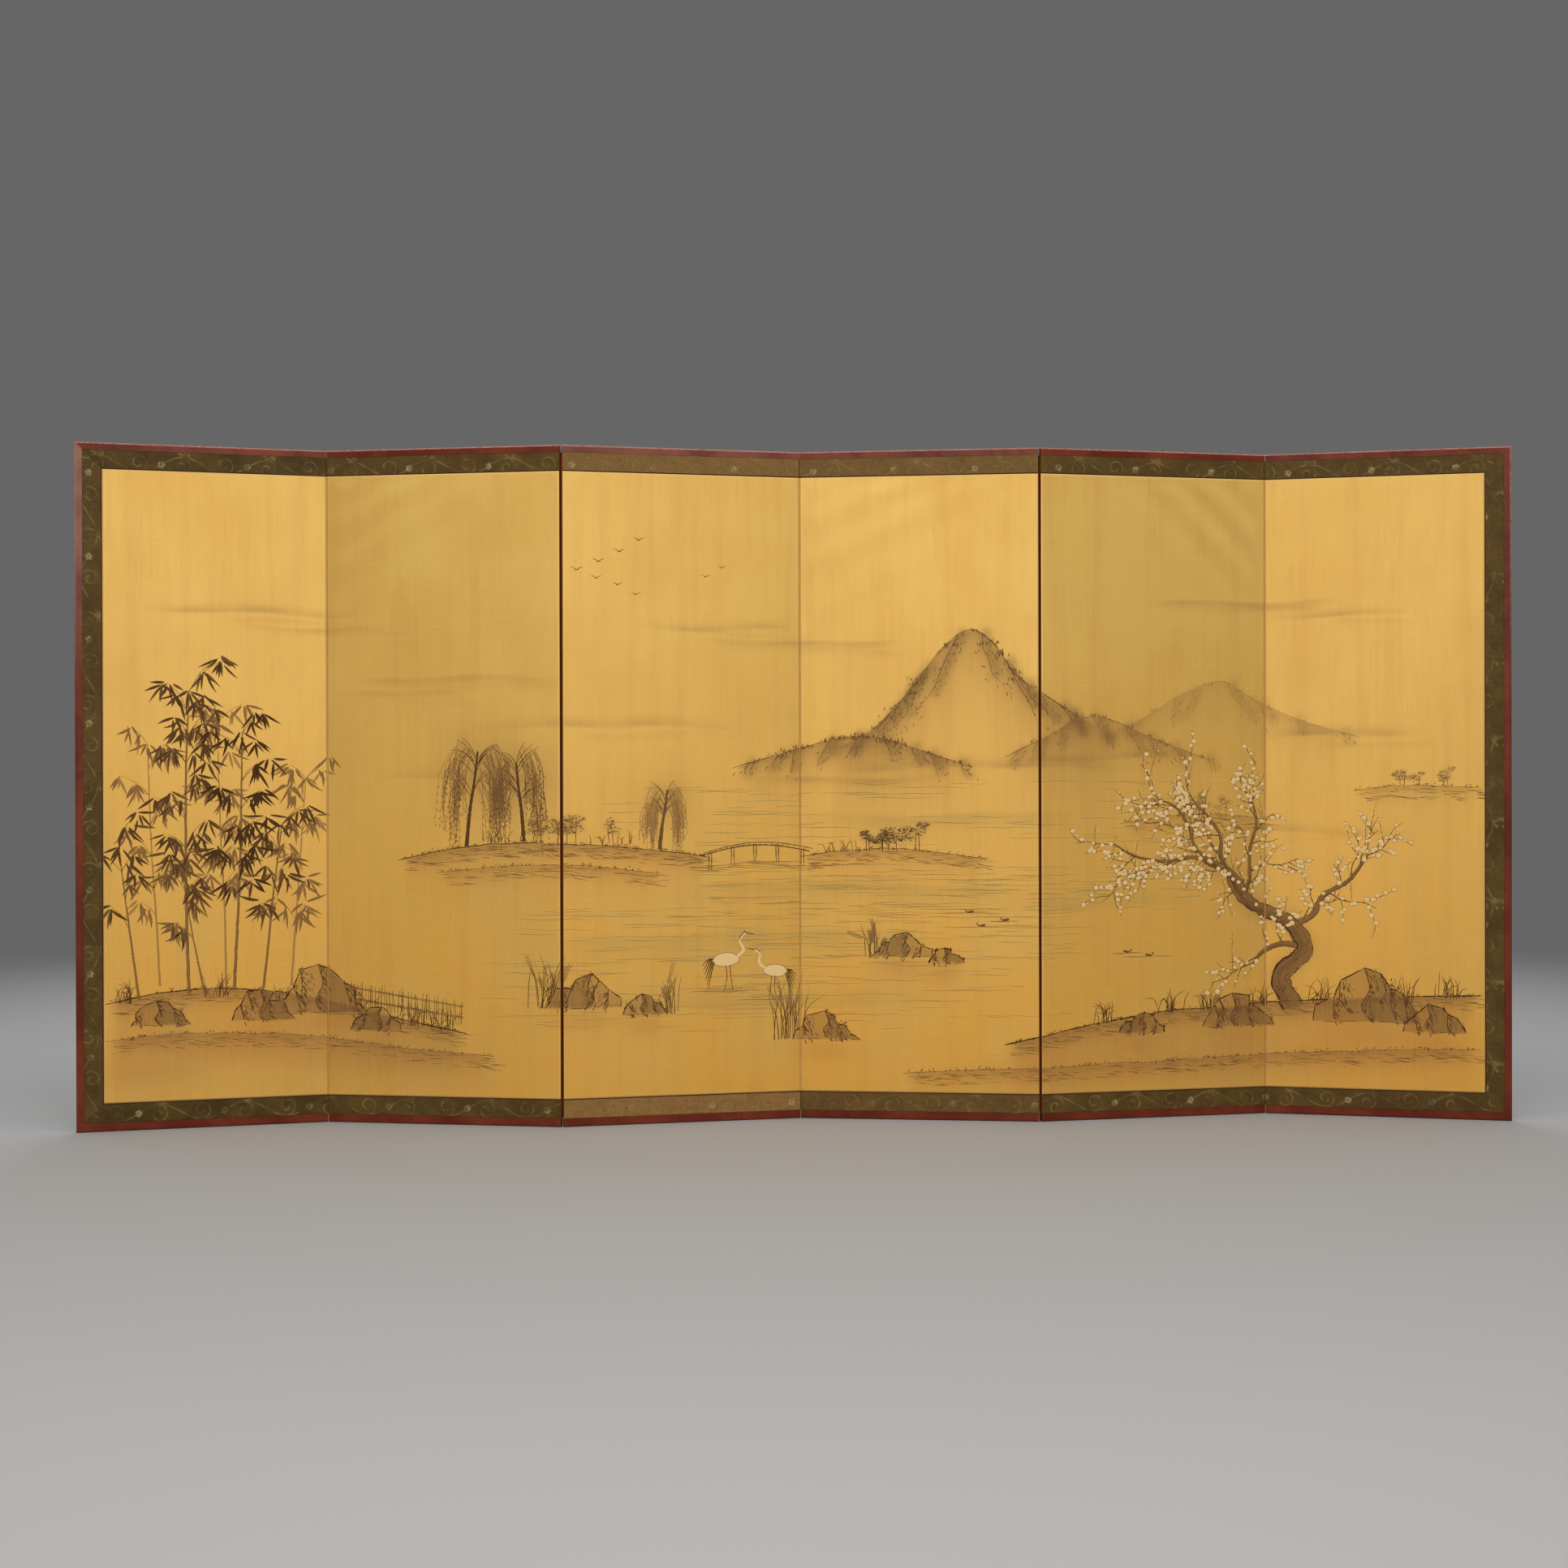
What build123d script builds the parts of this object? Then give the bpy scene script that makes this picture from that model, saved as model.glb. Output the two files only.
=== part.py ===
from build123d import *
from dataclasses import dataclass
from functools import cache
import math
import os

# A six-panel byobu folding screen. Each panel is a papered cedar lattice with a silk painting
# mount and brocade strips on its front, patterned paper on its back, and a lacquered frame.
# Strips of washi paper hinge the panels to each other, and the folds alternate: at the first
# fold the fronts close together, at the second the backs, and so on.
#
# Frame: +Z up, the painted side faces -Y, +X to the right of someone who looks at it.
# The origin is on the floor, below the middle of the standing screen.
# A panel is drawn standing at x = 0..PANEL_WIDTH, its thickness centred on y = 0.

# ---------------------------------------------------------------- driving dimensions (mm, degrees)
PANEL_HEIGHT = 1720.0       # floor to the top of the frame
PANEL_WIDTH = 612.0         # one fold line to the next, or to the outer edge of the screen
FOLD_ANGLES = (23.0, 20.5, 18.5, 18.0, 24.0)   # how far each fold stands away from flat

CORE_DEPTH = 15.0           # thickness of the cedar lattice
CORE_STILE = 32.0           # width of the lattice's own uprights
CORE_RAIL = 36.0            # height of the lattice's own top and bottom members
CORE_TENON_LENGTH = 14.0
CORE_TENON_THICKNESS = 5.0
CORE_TENON_SHOULDER = 7.0   # wood left above and below a rail's tenon
KUMIKO_WIDTH = 10.0         # face width of the thin lattice bars
KUMIKO_TENON = 5.0          # length of a bar's stub in its mortise
KUMIKO_UPRIGHTS = 5
KUMIKO_CROSSBARS = 15

UNDER_PAPER = 0.8           # layers of washi all round the lattice
SILK = 0.6                  # the painted silk with its lining paper
BROCADE = 0.6               # the brocade with its lining paper
BACK_PAPER = 0.5            # patterned paper on the back
BROCADE_TOP = 48.0          # height of the strip above the painting
BROCADE_BOTTOM = 49.0       # height of the strip below it
BROCADE_SIDE = 47.0         # width of the strip at each end of the screen

FRAME_FACE = 19.0           # width of the lacquered top rails and outer stiles, from the front
FRAME_FOOT = 22.0           # height of the bottom rails, which carry the screen
FRAME_PROUD = 0.6           # how far it stands in front of the silk
FRAME_ROUNDING = 6.0        # radius of its outer edges

PIN_DIAMETER = 2.4          # the hidden nails between frame and lattice
PIN_LENGTH = 30.0
PIN_IN_FRAME = 11.0         # how much of a nail is in the frame
PIN_END_DISTANCE = 60.0     # from the end of the lattice to the first nail
PINS_PER_RAIL = 4
PINS_PER_STILE = 7
PIN_FIT = 0.05              # clearance all round a nail

HINGE_PAPER = 0.3           # thickness of the washi hinge strips
HINGE_FLAP = 40.0           # how far a strip is glued onto a panel's face
HINGE_STRIPS = 6            # strips up one fold
HINGE_SPLIT = 0.6           # gap between one strip and the next
HINGE_BEAD = 0.5            # radius of the rounded paper fold on the fold's axis
BEAD_CLEARANCE = 0.3        # from that rounded fold to the paper behind it on the other panel
FOLD_GAP = 0.8              # air between two panels when the screen is flat
FOLD_CLEARANCE = 0.5        # from the frame's face to the fold's axis

# ---------------------------------------------------------------- sizes that follow from them
PANEL_COUNT = len(FOLD_ANGLES) + 1
FRONT = -1                  # the painted side, towards -Y
BACK = 1
CORE_FACE = CORE_DEPTH / 2                  # half thicknesses, from the middle of a panel
PAPER_FACE = CORE_FACE + UNDER_PAPER
SILK_FACE = PAPER_FACE + SILK
FRAME_FACE_Y = SILK_FACE + FRAME_PROUD
AXIS_Y = FRAME_FACE_Y + FOLD_CLEARANCE
BODY_BOTTOM = FRAME_FOOT                    # the papered body stands between the frame's rails
BODY_TOP = PANEL_HEIGHT - FRAME_FACE
FRAME_AT_FOLD = FOLD_GAP / 2                # from a fold line to the end of a rail
BODY_AT_FOLD = FRAME_AT_FOLD + HINGE_PAPER  # from a fold line to the papered body
STRIP_PITCH = (BODY_TOP - BODY_BOTTOM) / HINGE_STRIPS


def slab(x0, x1, y0, y1, z0, z1):
    """A square-edged block between two opposite corners, given in any order."""
    centre = Pos((x0 + x1) / 2, (y0 + y1) / 2, (z0 + z1) / 2)
    return centre * Box(abs(x1 - x0), abs(y1 - y0), abs(z1 - z0))


def plate(outline, y0, y1):
    """A sheet cut to an outline of (x, z) corners, reaching from y0 to y1."""
    corners = [Vector(x, y0, z) for x, z in outline]
    face = Face(Wire.make_polygon(corners, close=True))
    return extrude(face, amount=y1 - y0, dir=(0, 1, 0))


def evenly(start, end, count):
    """Places for count things from start to end, with one at each end."""
    step = (end - start) / (count - 1)
    return [start + step * i for i in range(count)]


def between(start, end, count):
    """Places that divide the stretch from start to end into count + 1 equal bays."""
    step = (end - start) / (count + 1)
    return [start + step * (i + 1) for i in range(count)]


@dataclass(frozen=True)
class Panel:
    """A kind of panel: which of its sides meet a fold, and where its papered body ends."""

    left_is_fold: bool
    right_is_fold: bool

    @property
    def body_left(self):
        return BODY_AT_FOLD if self.left_is_fold else FRAME_FACE

    @property
    def body_right(self):
        return PANEL_WIDTH - (BODY_AT_FOLD if self.right_is_fold else FRAME_FACE)

    @property
    def core_left(self):
        return self.body_left + UNDER_PAPER

    @property
    def core_right(self):
        return self.body_right - UNDER_PAPER


# ---------------------------------------------------------------- the lattice
def tenoned_bar(x0, x1, z0, z1, tenon, shoulder, along_x):
    """A bar of full lattice depth from corner to corner, with a tenon past each end."""
    half = CORE_TENON_THICKNESS / 2
    bar = slab(x0, x1, -CORE_FACE, CORE_FACE, z0, z1)
    if along_x:
        return bar + slab(x0 - tenon, x1 + tenon, -half, half, z0 + shoulder, z1 - shoulder)
    return bar + slab(x0 + shoulder, x1 - shoulder, -half, half, z0 - tenon, z1 + tenon)


def halving(x, z, side):
    """The half of a crossing of two lattice bars that is cut away on one side."""
    half = KUMIKO_WIDTH / 2
    return slab(x - half, x + half, 0, side * CORE_DEPTH, z - half, z + half)


@cache
def lattice(panel):
    """Uprights, rails and thin bars, tenoned into each other and halved where they cross."""
    inner_left = panel.core_left + CORE_STILE
    inner_right = panel.core_right - CORE_STILE
    inner_bottom = BODY_BOTTOM + CORE_RAIL
    inner_top = BODY_TOP - CORE_RAIL
    columns = between(inner_left, inner_right, KUMIKO_UPRIGHTS)
    rows = between(inner_bottom, inner_top, KUMIKO_CROSSBARS)
    half = KUMIKO_WIDTH / 2

    crossbars = []
    for z in rows:
        bar = tenoned_bar(inner_left, inner_right, z - half, z + half, KUMIKO_TENON, 0, True)
        crossbars.append(bar - [halving(x, z, BACK) for x in columns])
    uprights = []
    for x in columns:
        bar = tenoned_bar(x - half, x + half, inner_bottom, inner_top, KUMIKO_TENON, 0, False)
        uprights.append(bar - [halving(x, z, FRONT) for z in rows])

    rails = []
    for z0, z1 in ((BODY_BOTTOM, inner_bottom), (inner_top, BODY_TOP)):
        core_rail = tenoned_bar(
            inner_left, inner_right, z0, z1, CORE_TENON_LENGTH, CORE_TENON_SHOULDER, True
        )
        rails.append(core_rail - uprights)
    stiles = []
    for x0, x1 in ((panel.core_left, inner_left), (inner_right, panel.core_right)):
        stile = slab(x0, x1, -CORE_FACE, CORE_FACE, BODY_BOTTOM, BODY_TOP)
        stiles.append(stile - rails - crossbars)
    holes = pins(panel, PIN_FIT)
    return [bar - holes for bar in stiles + rails] + crossbars + uprights


# ---------------------------------------------------------------- the frame and its nails
def pin(x, z, direction, fit):
    """One nail, or the hole for it when fit is its clearance, pointing out of the lattice."""
    length = PIN_LENGTH + 2 * fit
    middle = PIN_IN_FRAME - PIN_LENGTH / 2
    turn = Rot(0, 90, 0) if direction[0] else Rot(0, 0, 0)
    place = Pos(x + direction[0] * middle, 0, z + direction[1] * middle)
    return place * turn * Cylinder(PIN_DIAMETER / 2 + fit, length)


def pins(panel, fit=0.0):
    """All the nails of one panel."""
    across = evenly(
        panel.core_left + PIN_END_DISTANCE, panel.core_right - PIN_END_DISTANCE, PINS_PER_RAIL
    )
    upwards = evenly(BODY_BOTTOM + PIN_END_DISTANCE, BODY_TOP - PIN_END_DISTANCE, PINS_PER_STILE)
    nails = []
    for x in across:
        nails.append(pin(x, BODY_TOP, (0, 1), fit))
        nails.append(pin(x, BODY_BOTTOM, (0, -1), fit))
    for z in upwards:
        if not panel.left_is_fold:
            nails.append(pin(panel.body_left, z, (-1, 0), fit))
        if not panel.right_is_fold:
            nails.append(pin(panel.body_right, z, (1, 0), fit))
    return nails


def frame_bar(outline, outer_axis, outer_value):
    """A lacquered bar with its two outer long edges rounded."""
    bar = plate(outline, -FRAME_FACE_Y, FRAME_FACE_Y)
    long_axis = Axis.X if outer_axis == Axis.Z else Axis.Z
    edges = bar.edges().filter_by(long_axis)
    edges = edges.filter_by_position(outer_axis, outer_value, outer_value)
    return fillet(edges, FRAME_ROUNDING)


def rail(panel, at_top):
    """The frame's top or bottom bar, square at a fold and mitred at an outer corner."""
    outer_z, inner_z = (PANEL_HEIGHT, BODY_TOP) if at_top else (0.0, BODY_BOTTOM)
    left, right = FRAME_AT_FOLD, PANEL_WIDTH - FRAME_AT_FOLD
    inner_left, inner_right = left, right
    if not panel.left_is_fold:
        left, inner_left = 0.0, FRAME_FACE
    if not panel.right_is_fold:
        right, inner_right = PANEL_WIDTH, PANEL_WIDTH - FRAME_FACE
    outline = [(left, outer_z), (right, outer_z), (inner_right, inner_z), (inner_left, inner_z)]
    return frame_bar(outline, Axis.Z, outer_z) - pins(panel, PIN_FIT)


def outer_stile(panel):
    """The frame's upright at an end of the screen, mitred at both ends."""
    outer_x = PANEL_WIDTH if panel.left_is_fold else 0.0
    inner_x = panel.body_right if panel.left_is_fold else panel.body_left
    outline = [(outer_x, 0), (outer_x, PANEL_HEIGHT), (inner_x, BODY_TOP), (inner_x, BODY_BOTTOM)]
    return frame_bar(outline, Axis.X, outer_x) - pins(panel, PIN_FIT)


# ---------------------------------------------------------------- the papers and the silk
def fold_side(fold):
    """The side on which a fold has its axis: FRONT at folds 1, 3, 5 and BACK at 2, 4."""
    return FRONT if fold % 2 else BACK


def strip_heights(wrapping, fold, on_left_panel):
    """The bottoms and tops of the hinge strips that wrap a panel's edge, or of the others."""
    first = 1 if on_left_panel == (fold_side(fold) == FRONT) else 0
    if not wrapping:
        first = 1 - first
    heights = []
    for i in range(first, HINGE_STRIPS, 2):
        bottom = BODY_BOTTOM + i * STRIP_PITCH
        heights.append((bottom + HINGE_SPLIT / 2, bottom + STRIP_PITCH - HINGE_SPLIT / 2))
    return heights


def edge_x(on_left_panel, distance):
    """The x at a distance from the fold line, on the panel to its left or to its right."""
    return PANEL_WIDTH - distance if on_left_panel else distance


def hinge_flaps(fold, on_left_panel, side):
    """The stretches of hinge paper glued to one face of a panel, let into its under-paper."""
    wrapping = side != fold_side(fold)
    x0 = edge_x(on_left_panel, BODY_AT_FOLD)
    x1 = edge_x(on_left_panel, BODY_AT_FOLD + HINGE_FLAP)
    y0, y1 = side * (PAPER_FACE - HINGE_PAPER), side * PAPER_FACE
    heights = strip_heights(wrapping, fold, on_left_panel)
    return [slab(x0, x1, y0, y1, z0, z1) for z0, z1 in heights]


def hinge_wrap(fold, on_left_panel, z0, z1):
    """One strip over a panel's edge, from the rounded fold on the axis to the other face."""
    side = fold_side(fold)
    outer = edge_x(on_left_panel, FRAME_AT_FOLD)
    inner = edge_x(on_left_panel, BODY_AT_FOLD)
    axis = edge_x(on_left_panel, 0)
    axis_y = side * AXIS_Y
    run = slab(outer, inner, -side * PAPER_FACE, axis_y, z0, z1)
    web = slab(axis, inner, axis_y - side * HINGE_PAPER, axis_y, z0, z1)
    bead = Pos(axis, axis_y, (z0 + z1) / 2) * Cylinder(HINGE_BEAD, z1 - z0)
    return run + web + bead


def hinge_lip(fold, on_left_panel, z0, z1):
    """The other end of a strip, which closes the fold behind the bead and meets its flap."""
    side = fold_side(fold)
    outer = edge_x(on_left_panel, FRAME_AT_FOLD)
    inner = edge_x(on_left_panel, BODY_AT_FOLD)
    axis = edge_x(on_left_panel, 0)
    lip_y = side * (AXIS_Y - HINGE_BEAD - BEAD_CLEARANCE)
    shelf = slab(axis, inner, lip_y - side * HINGE_PAPER, lip_y, z0, z1)
    return shelf + slab(outer, inner, side * (PAPER_FACE - HINGE_PAPER), lip_y, z0, z1)


def hinge_paper(fold, on_left_panel):
    """All the hinge paper of one fold that is glued to the panel on one side of it."""
    strips = []
    for wrapping, shaped in ((True, hinge_wrap), (False, hinge_lip)):
        side = -fold_side(fold) if wrapping else fold_side(fold)
        flaps = hinge_flaps(fold, on_left_panel, side)
        heights = strip_heights(wrapping, fold, on_left_panel)
        for flap, (z0, z1) in zip(flaps, heights):
            strips.append(flap + shaped(fold, on_left_panel, z0, z1))
    return strips


def under_paper(panel, number):
    """The washi sleeve round the lattice, open where the frame's rails sit."""
    outside = slab(
        panel.body_left, panel.body_right, -PAPER_FACE, PAPER_FACE, BODY_BOTTOM, BODY_TOP
    )
    inside = slab(panel.core_left, panel.core_right, -CORE_FACE, CORE_FACE, BODY_BOTTOM, BODY_TOP)
    sleeve = outside - inside - pins(panel, PIN_FIT)
    for side in (FRONT, BACK):
        if panel.left_is_fold:
            sleeve -= hinge_flaps(number - 1, False, side)
        if panel.right_is_fold:
            sleeve -= hinge_flaps(number, True, side)
    return sleeve


def painting_edges(panel):
    """The left, right, bottom and top of the gold silk."""
    left = panel.body_left + (0 if panel.left_is_fold else BROCADE_SIDE)
    right = panel.body_right - (0 if panel.right_is_fold else BROCADE_SIDE)
    return left, right, BODY_BOTTOM + BROCADE_BOTTOM, BODY_TOP - BROCADE_TOP


def painting_silk(panel):
    """The silk that carries the painting, on its lining."""
    left, right, bottom, top = painting_edges(panel)
    return slab(left, right, -SILK_FACE, -PAPER_FACE, bottom, top)


def brocade_border(panel):
    """The brocade strips round the silk, mitred at the outer corners of the screen."""
    left, right, bottom, top = painting_edges(panel)
    x0, x1 = panel.body_left, panel.body_right
    z0, z1 = BODY_BOTTOM, BODY_TOP
    outlines = [
        [(x0, z1), (x1, z1), (right, top), (left, top)],
        [(x0, z0), (x1, z0), (right, bottom), (left, bottom)],
    ]
    if not panel.left_is_fold:
        outlines.append([(x0, z0), (x0, z1), (left, top), (left, bottom)])
    if not panel.right_is_fold:
        outlines.append([(x1, z0), (x1, z1), (right, top), (right, bottom)])
    return [plate(outline, -PAPER_FACE - BROCADE, -PAPER_FACE) for outline in outlines]


def back_paper(panel):
    """The patterned paper that covers the whole back."""
    back = PAPER_FACE + BACK_PAPER
    return slab(panel.body_left, panel.body_right, PAPER_FACE, back, BODY_BOTTOM, BODY_TOP)


# ---------------------------------------------------------------- the standing screen
def standing_places():
    """Each panel's place and each fold's axis point, as the screen stands, before centring."""
    place = Location((0, 0, 0))
    places = [place]
    axes = []
    for fold, angle in enumerate(FOLD_ANGLES, start=1):
        side = fold_side(fold)
        on_left = Pos(PANEL_WIDTH, side * AXIS_Y, 0)
        on_right = Pos(0, side * AXIS_Y, 0)
        axes.append((place * on_left).position)
        place = place * on_left * Rot(0, 0, side * angle) * on_right.inverse()
        places.append(place)
    return places, axes


def straightened(places, axes):
    """The same, turned so that the screen's two outer ends lie along X."""
    end = (places[-1] * Pos(PANEL_WIDTH, 0, 0)).position
    turn = Rot(0, 0, -math.degrees(math.atan2(end.Y, end.X)))
    return [turn * place for place in places], [(turn * Pos(*axis)).position for axis in axes]


def panel_nodes(number):
    """Every sub-part that rides on one panel, by name, drawn before the panel is placed."""
    panel = Panel(number > 1, number < PANEL_COUNT)
    name = f"panel_{number}"
    nodes = {
        f"{name}_core": lattice(panel),
        f"{name}_under_paper": [under_paper(panel, number)],
        f"{name}_painting_silk": [painting_silk(panel)],
        f"{name}_brocade_border": brocade_border(panel),
        f"{name}_back_paper": [back_paper(panel)],
        f"{name}_top_rail": [rail(panel, True)],
        f"{name}_bottom_rail": [rail(panel, False)],
        f"{name}_frame_pins": pins(panel),
    }
    if panel.left_is_fold:
        nodes[f"fold_{number - 1}_right_hinge_paper"] = hinge_paper(number - 1, False)
    else:
        nodes["left_outer_stile"] = [outer_stile(panel)]
    if panel.right_is_fold:
        nodes[f"fold_{number}_left_hinge_paper"] = hinge_paper(number, True)
    else:
        nodes["right_outer_stile"] = [outer_stile(panel)]
    return nodes


def separate_solids(shapes):
    """The solids of a list of shapes, in order."""
    return [solid for shape in shapes for solid in shape.solids()]


def build():
    """All nodes as compounds of solids, the fold axes and each panel's place, about the origin."""
    places, axes = straightened(*standing_places())
    bodies = {}
    nodes = {}
    for number, place in enumerate(places, start=1):
        drawn = panel_nodes(number)
        bodies[f"panel_{number}"] = list(drawn)
        for name, shapes in drawn.items():
            nodes[name] = [place * solid for solid in separate_solids(shapes)]
    everything = Compound([solid for solids in nodes.values() for solid in solids])
    box = everything.bounding_box()
    centring = Pos(-box.center().X, -box.center().Y, -box.min.Z)
    compounds = {n: Compound([centring * solid for solid in s]) for n, s in nodes.items()}
    axes = [(centring * Pos(*axis)).position for axis in axes]
    places = [centring * place for place in places]
    return compounds, bodies, axes, places


def write_parts(compounds):
    """One STEP file for each node."""
    os.makedirs("parts", exist_ok=True)
    for name, compound in compounds.items():
        compound.label = name
        export_step(compound, f"parts/{name}.step")


node_compounds, node_bodies, fold_axes, panel_places = build()
write_parts(node_compounds)
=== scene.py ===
"""Looks of the six-panel folding screen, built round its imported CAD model.

The painted side faces -Y. A panel's own directions are `across` (to the right of someone who
looks at the painted side), `out` (towards them) and Z. A place on a panel is (x, z, d): x and d
are distances along `across` and `out`, in metres. The painting runs over all six panels on one
coordinate u, which starts at the outer edge of the left stile.
"""

import math

import bpy
import numpy as np
from mathutils import Matrix, Vector


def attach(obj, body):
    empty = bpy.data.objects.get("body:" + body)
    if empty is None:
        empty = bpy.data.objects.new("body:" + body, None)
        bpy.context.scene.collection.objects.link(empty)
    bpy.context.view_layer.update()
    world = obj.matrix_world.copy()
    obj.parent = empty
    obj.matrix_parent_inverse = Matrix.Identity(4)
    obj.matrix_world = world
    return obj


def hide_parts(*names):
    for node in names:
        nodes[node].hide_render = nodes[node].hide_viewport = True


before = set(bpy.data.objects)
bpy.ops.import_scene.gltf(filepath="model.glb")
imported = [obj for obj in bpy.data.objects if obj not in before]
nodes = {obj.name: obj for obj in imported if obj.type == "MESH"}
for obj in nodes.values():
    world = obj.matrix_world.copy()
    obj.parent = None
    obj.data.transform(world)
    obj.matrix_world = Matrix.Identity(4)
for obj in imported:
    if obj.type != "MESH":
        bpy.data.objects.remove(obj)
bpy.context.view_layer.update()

MM = 0.001
rng = np.random.default_rng(1868)
uniform, normal, choice, random = rng.uniform, rng.normal, rng.choice, rng.random


# ------------------------------------------------------------------ panels, read from the frame
def corners(node):
    """The vertices of a CAD node, as an array."""
    mesh = nodes[node].data
    co = np.empty(len(mesh.vertices) * 3, np.float32)
    mesh.vertices.foreach_get("co", co)
    return co.reshape(-1, 3).astype(float)


class Panel:
    """One panel's directions, and the room that its silk and its brocade take on it."""

    def __init__(self, number):
        self.number = number
        self.body = f"panel_{number}"
        silk = np.unique(corners(f"{self.body}_painting_silk").round(6), axis=0)
        flat = silk[:, :2] - silk[:, :2].mean(0)
        along = np.linalg.svd(flat, full_matrices=False)[2][0]
        along *= np.sign(along[0])
        self.heading = math.atan2(along[1], along[0])
        self.across = np.array([math.cos(self.heading), math.sin(self.heading), 0])
        self.out = np.array([math.sin(self.heading), -math.cos(self.heading), 0])
        self.silk = self.reach(f"{self.body}_painting_silk")
        self.brocade = self.reach(f"{self.body}_brocade_border")

    def reach(self, node):
        """The least and most x, z and d of a node."""
        co = corners(node)
        axes = (co @ self.across, co[:, 2], co @ self.out)
        return [(float(a.min()), float(a.max())) for a in axes]

    def places(self, x, z, d):
        """World points of places on the panel."""
        return np.outer(x, self.across) + np.outer(z, [0, 0, 1.0]) + np.outer(d, self.out)


panels = [Panel(number) for number in range(1, 7)]
FOLD_GAP = 1.4 * MM                      # between the silks of two neighbouring panels
u_start = panels[0].silk[0][0] - panels[0].reach("left_outer_stile")[0][0]
for panel in panels:
    panel.u0 = u_start
    panel.u1 = u_start + panel.silk[0][1] - panel.silk[0][0]
    u_start = panel.u1 + FOLD_GAP


# ------------------------------------------------------------------ materials
def linear(picture):
    """The linear values of a colour that is given in the 0..255 numbers of a picture."""
    shares = [c / 255 for c in picture]
    return [c / 12.92 if c <= 0.04045 else ((c + 0.055) / 1.055) ** 2.4 for c in shares]


class Result:
    """One output of a node. Arithmetic with it makes a further node."""

    def __init__(self, material, socket):
        self.m, self.socket = material, socket

    def __add__(self, other):
        return self.m.math("ADD", self, other)

    def __radd__(self, other):
        return self.m.math("ADD", other, self)

    def __sub__(self, other):
        return self.m.math("SUBTRACT", self, other)

    def __rsub__(self, other):
        return self.m.math("SUBTRACT", other, self)

    def __mul__(self, other):
        return self.m.math("MULTIPLY", self, other)

    def __rmul__(self, other):
        return self.m.math("MULTIPLY", other, self)

    def __truediv__(self, other):
        return self.m.math("DIVIDE", self, other)


class Material:
    """A node material. Colours of three numbers are those of a picture, 0..255."""

    def __init__(self, name, **shader):
        self.material = bpy.data.materials.new(name)
        self.material.use_nodes = True
        tree = self.material.node_tree
        self.nodes, self.links = tree.nodes, tree.links
        self.nodes.clear()
        principled = self.node("BsdfPrincipled")
        self.links.new(principled.outputs[0], self.node("OutputMaterial").inputs[0])
        self.sockets = {one.name.lower().replace(" ", "_"): one for one in principled.inputs}
        self.shade(**shader)

    def shade(self, **values):
        """Sets inputs of the shader."""
        for name, value in values.items():
            self.put(self.sockets[name], value)

    def put(self, socket, value):
        if isinstance(value, Result):
            self.links.new(value.socket, socket)
        elif socket.type == "RGBA" and len(value) == 3:
            socket.default_value = (*linear(value), 1)
        else:
            socket.default_value = value

    def node(self, kind, *values, **settings):
        node = self.nodes.new("ShaderNode" + kind)
        for name, value in settings.items():
            setattr(node, name, value)
        for socket, value in zip(node.inputs, values):
            if value is not None:
                self.put(socket, value)
        return node

    def result(self, kind, *values, out=0, **settings):
        return Result(self, self.node(kind, *values, **settings).outputs[out])

    def math(self, operation, *values, clamp=False):
        return self.result("Math", *values, operation=operation, use_clamp=clamp)

    def span(self, value, low, high, to_low=0.0, to_high=1.0):
        """Where value stands between low and high, turned smoothly into to_low..to_high."""
        return self.result("MapRange", value, low, high, to_low, to_high, interpolation_type="SMOOTHSTEP")

    def mix(self, share, a, b):
        return self.result("Mix", share, *[None] * 5, a, b, out=2, data_type="RGBA")

    def layers(self, base, *layers):
        """Lays colours over a base one after the other, each given with its share."""
        for share, colour in layers:
            base = self.mix(share, base, colour)
        return base

    def noise(self, vector, scale, detail, roughness):
        """Noise of one scale, or stretched by a scale for each axis."""
        if isinstance(scale, tuple):
            vector, scale = self.result("VectorMath", vector, scale, operation="MULTIPLY"), 1.0
        return self.result("TexNoise", vector, None, scale, detail, roughness, out="Fac")

    def attribute(self, name, out="Vector"):
        return self.result("Attribute", out=out, attribute_name=name)

    def split(self, vector):
        return [Result(self, one) for one in self.node("SeparateXYZ", vector).outputs]

    def own(self, panel, what="Object"):
        """(x, depth, z) on a CAD node of that panel, which goes with it when the screen folds."""
        place = self.result("TexCoord", out=what)
        return self.result("Mapping", place, (0, 0, 0), (0, 0, -panel.heading))

    def bump(self, height, distance, strength):
        node = self.node("Bump", strength, distance)
        self.put(node.inputs["Height"], height)
        self.shade(normal=Result(self, node.outputs[0]))


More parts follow.
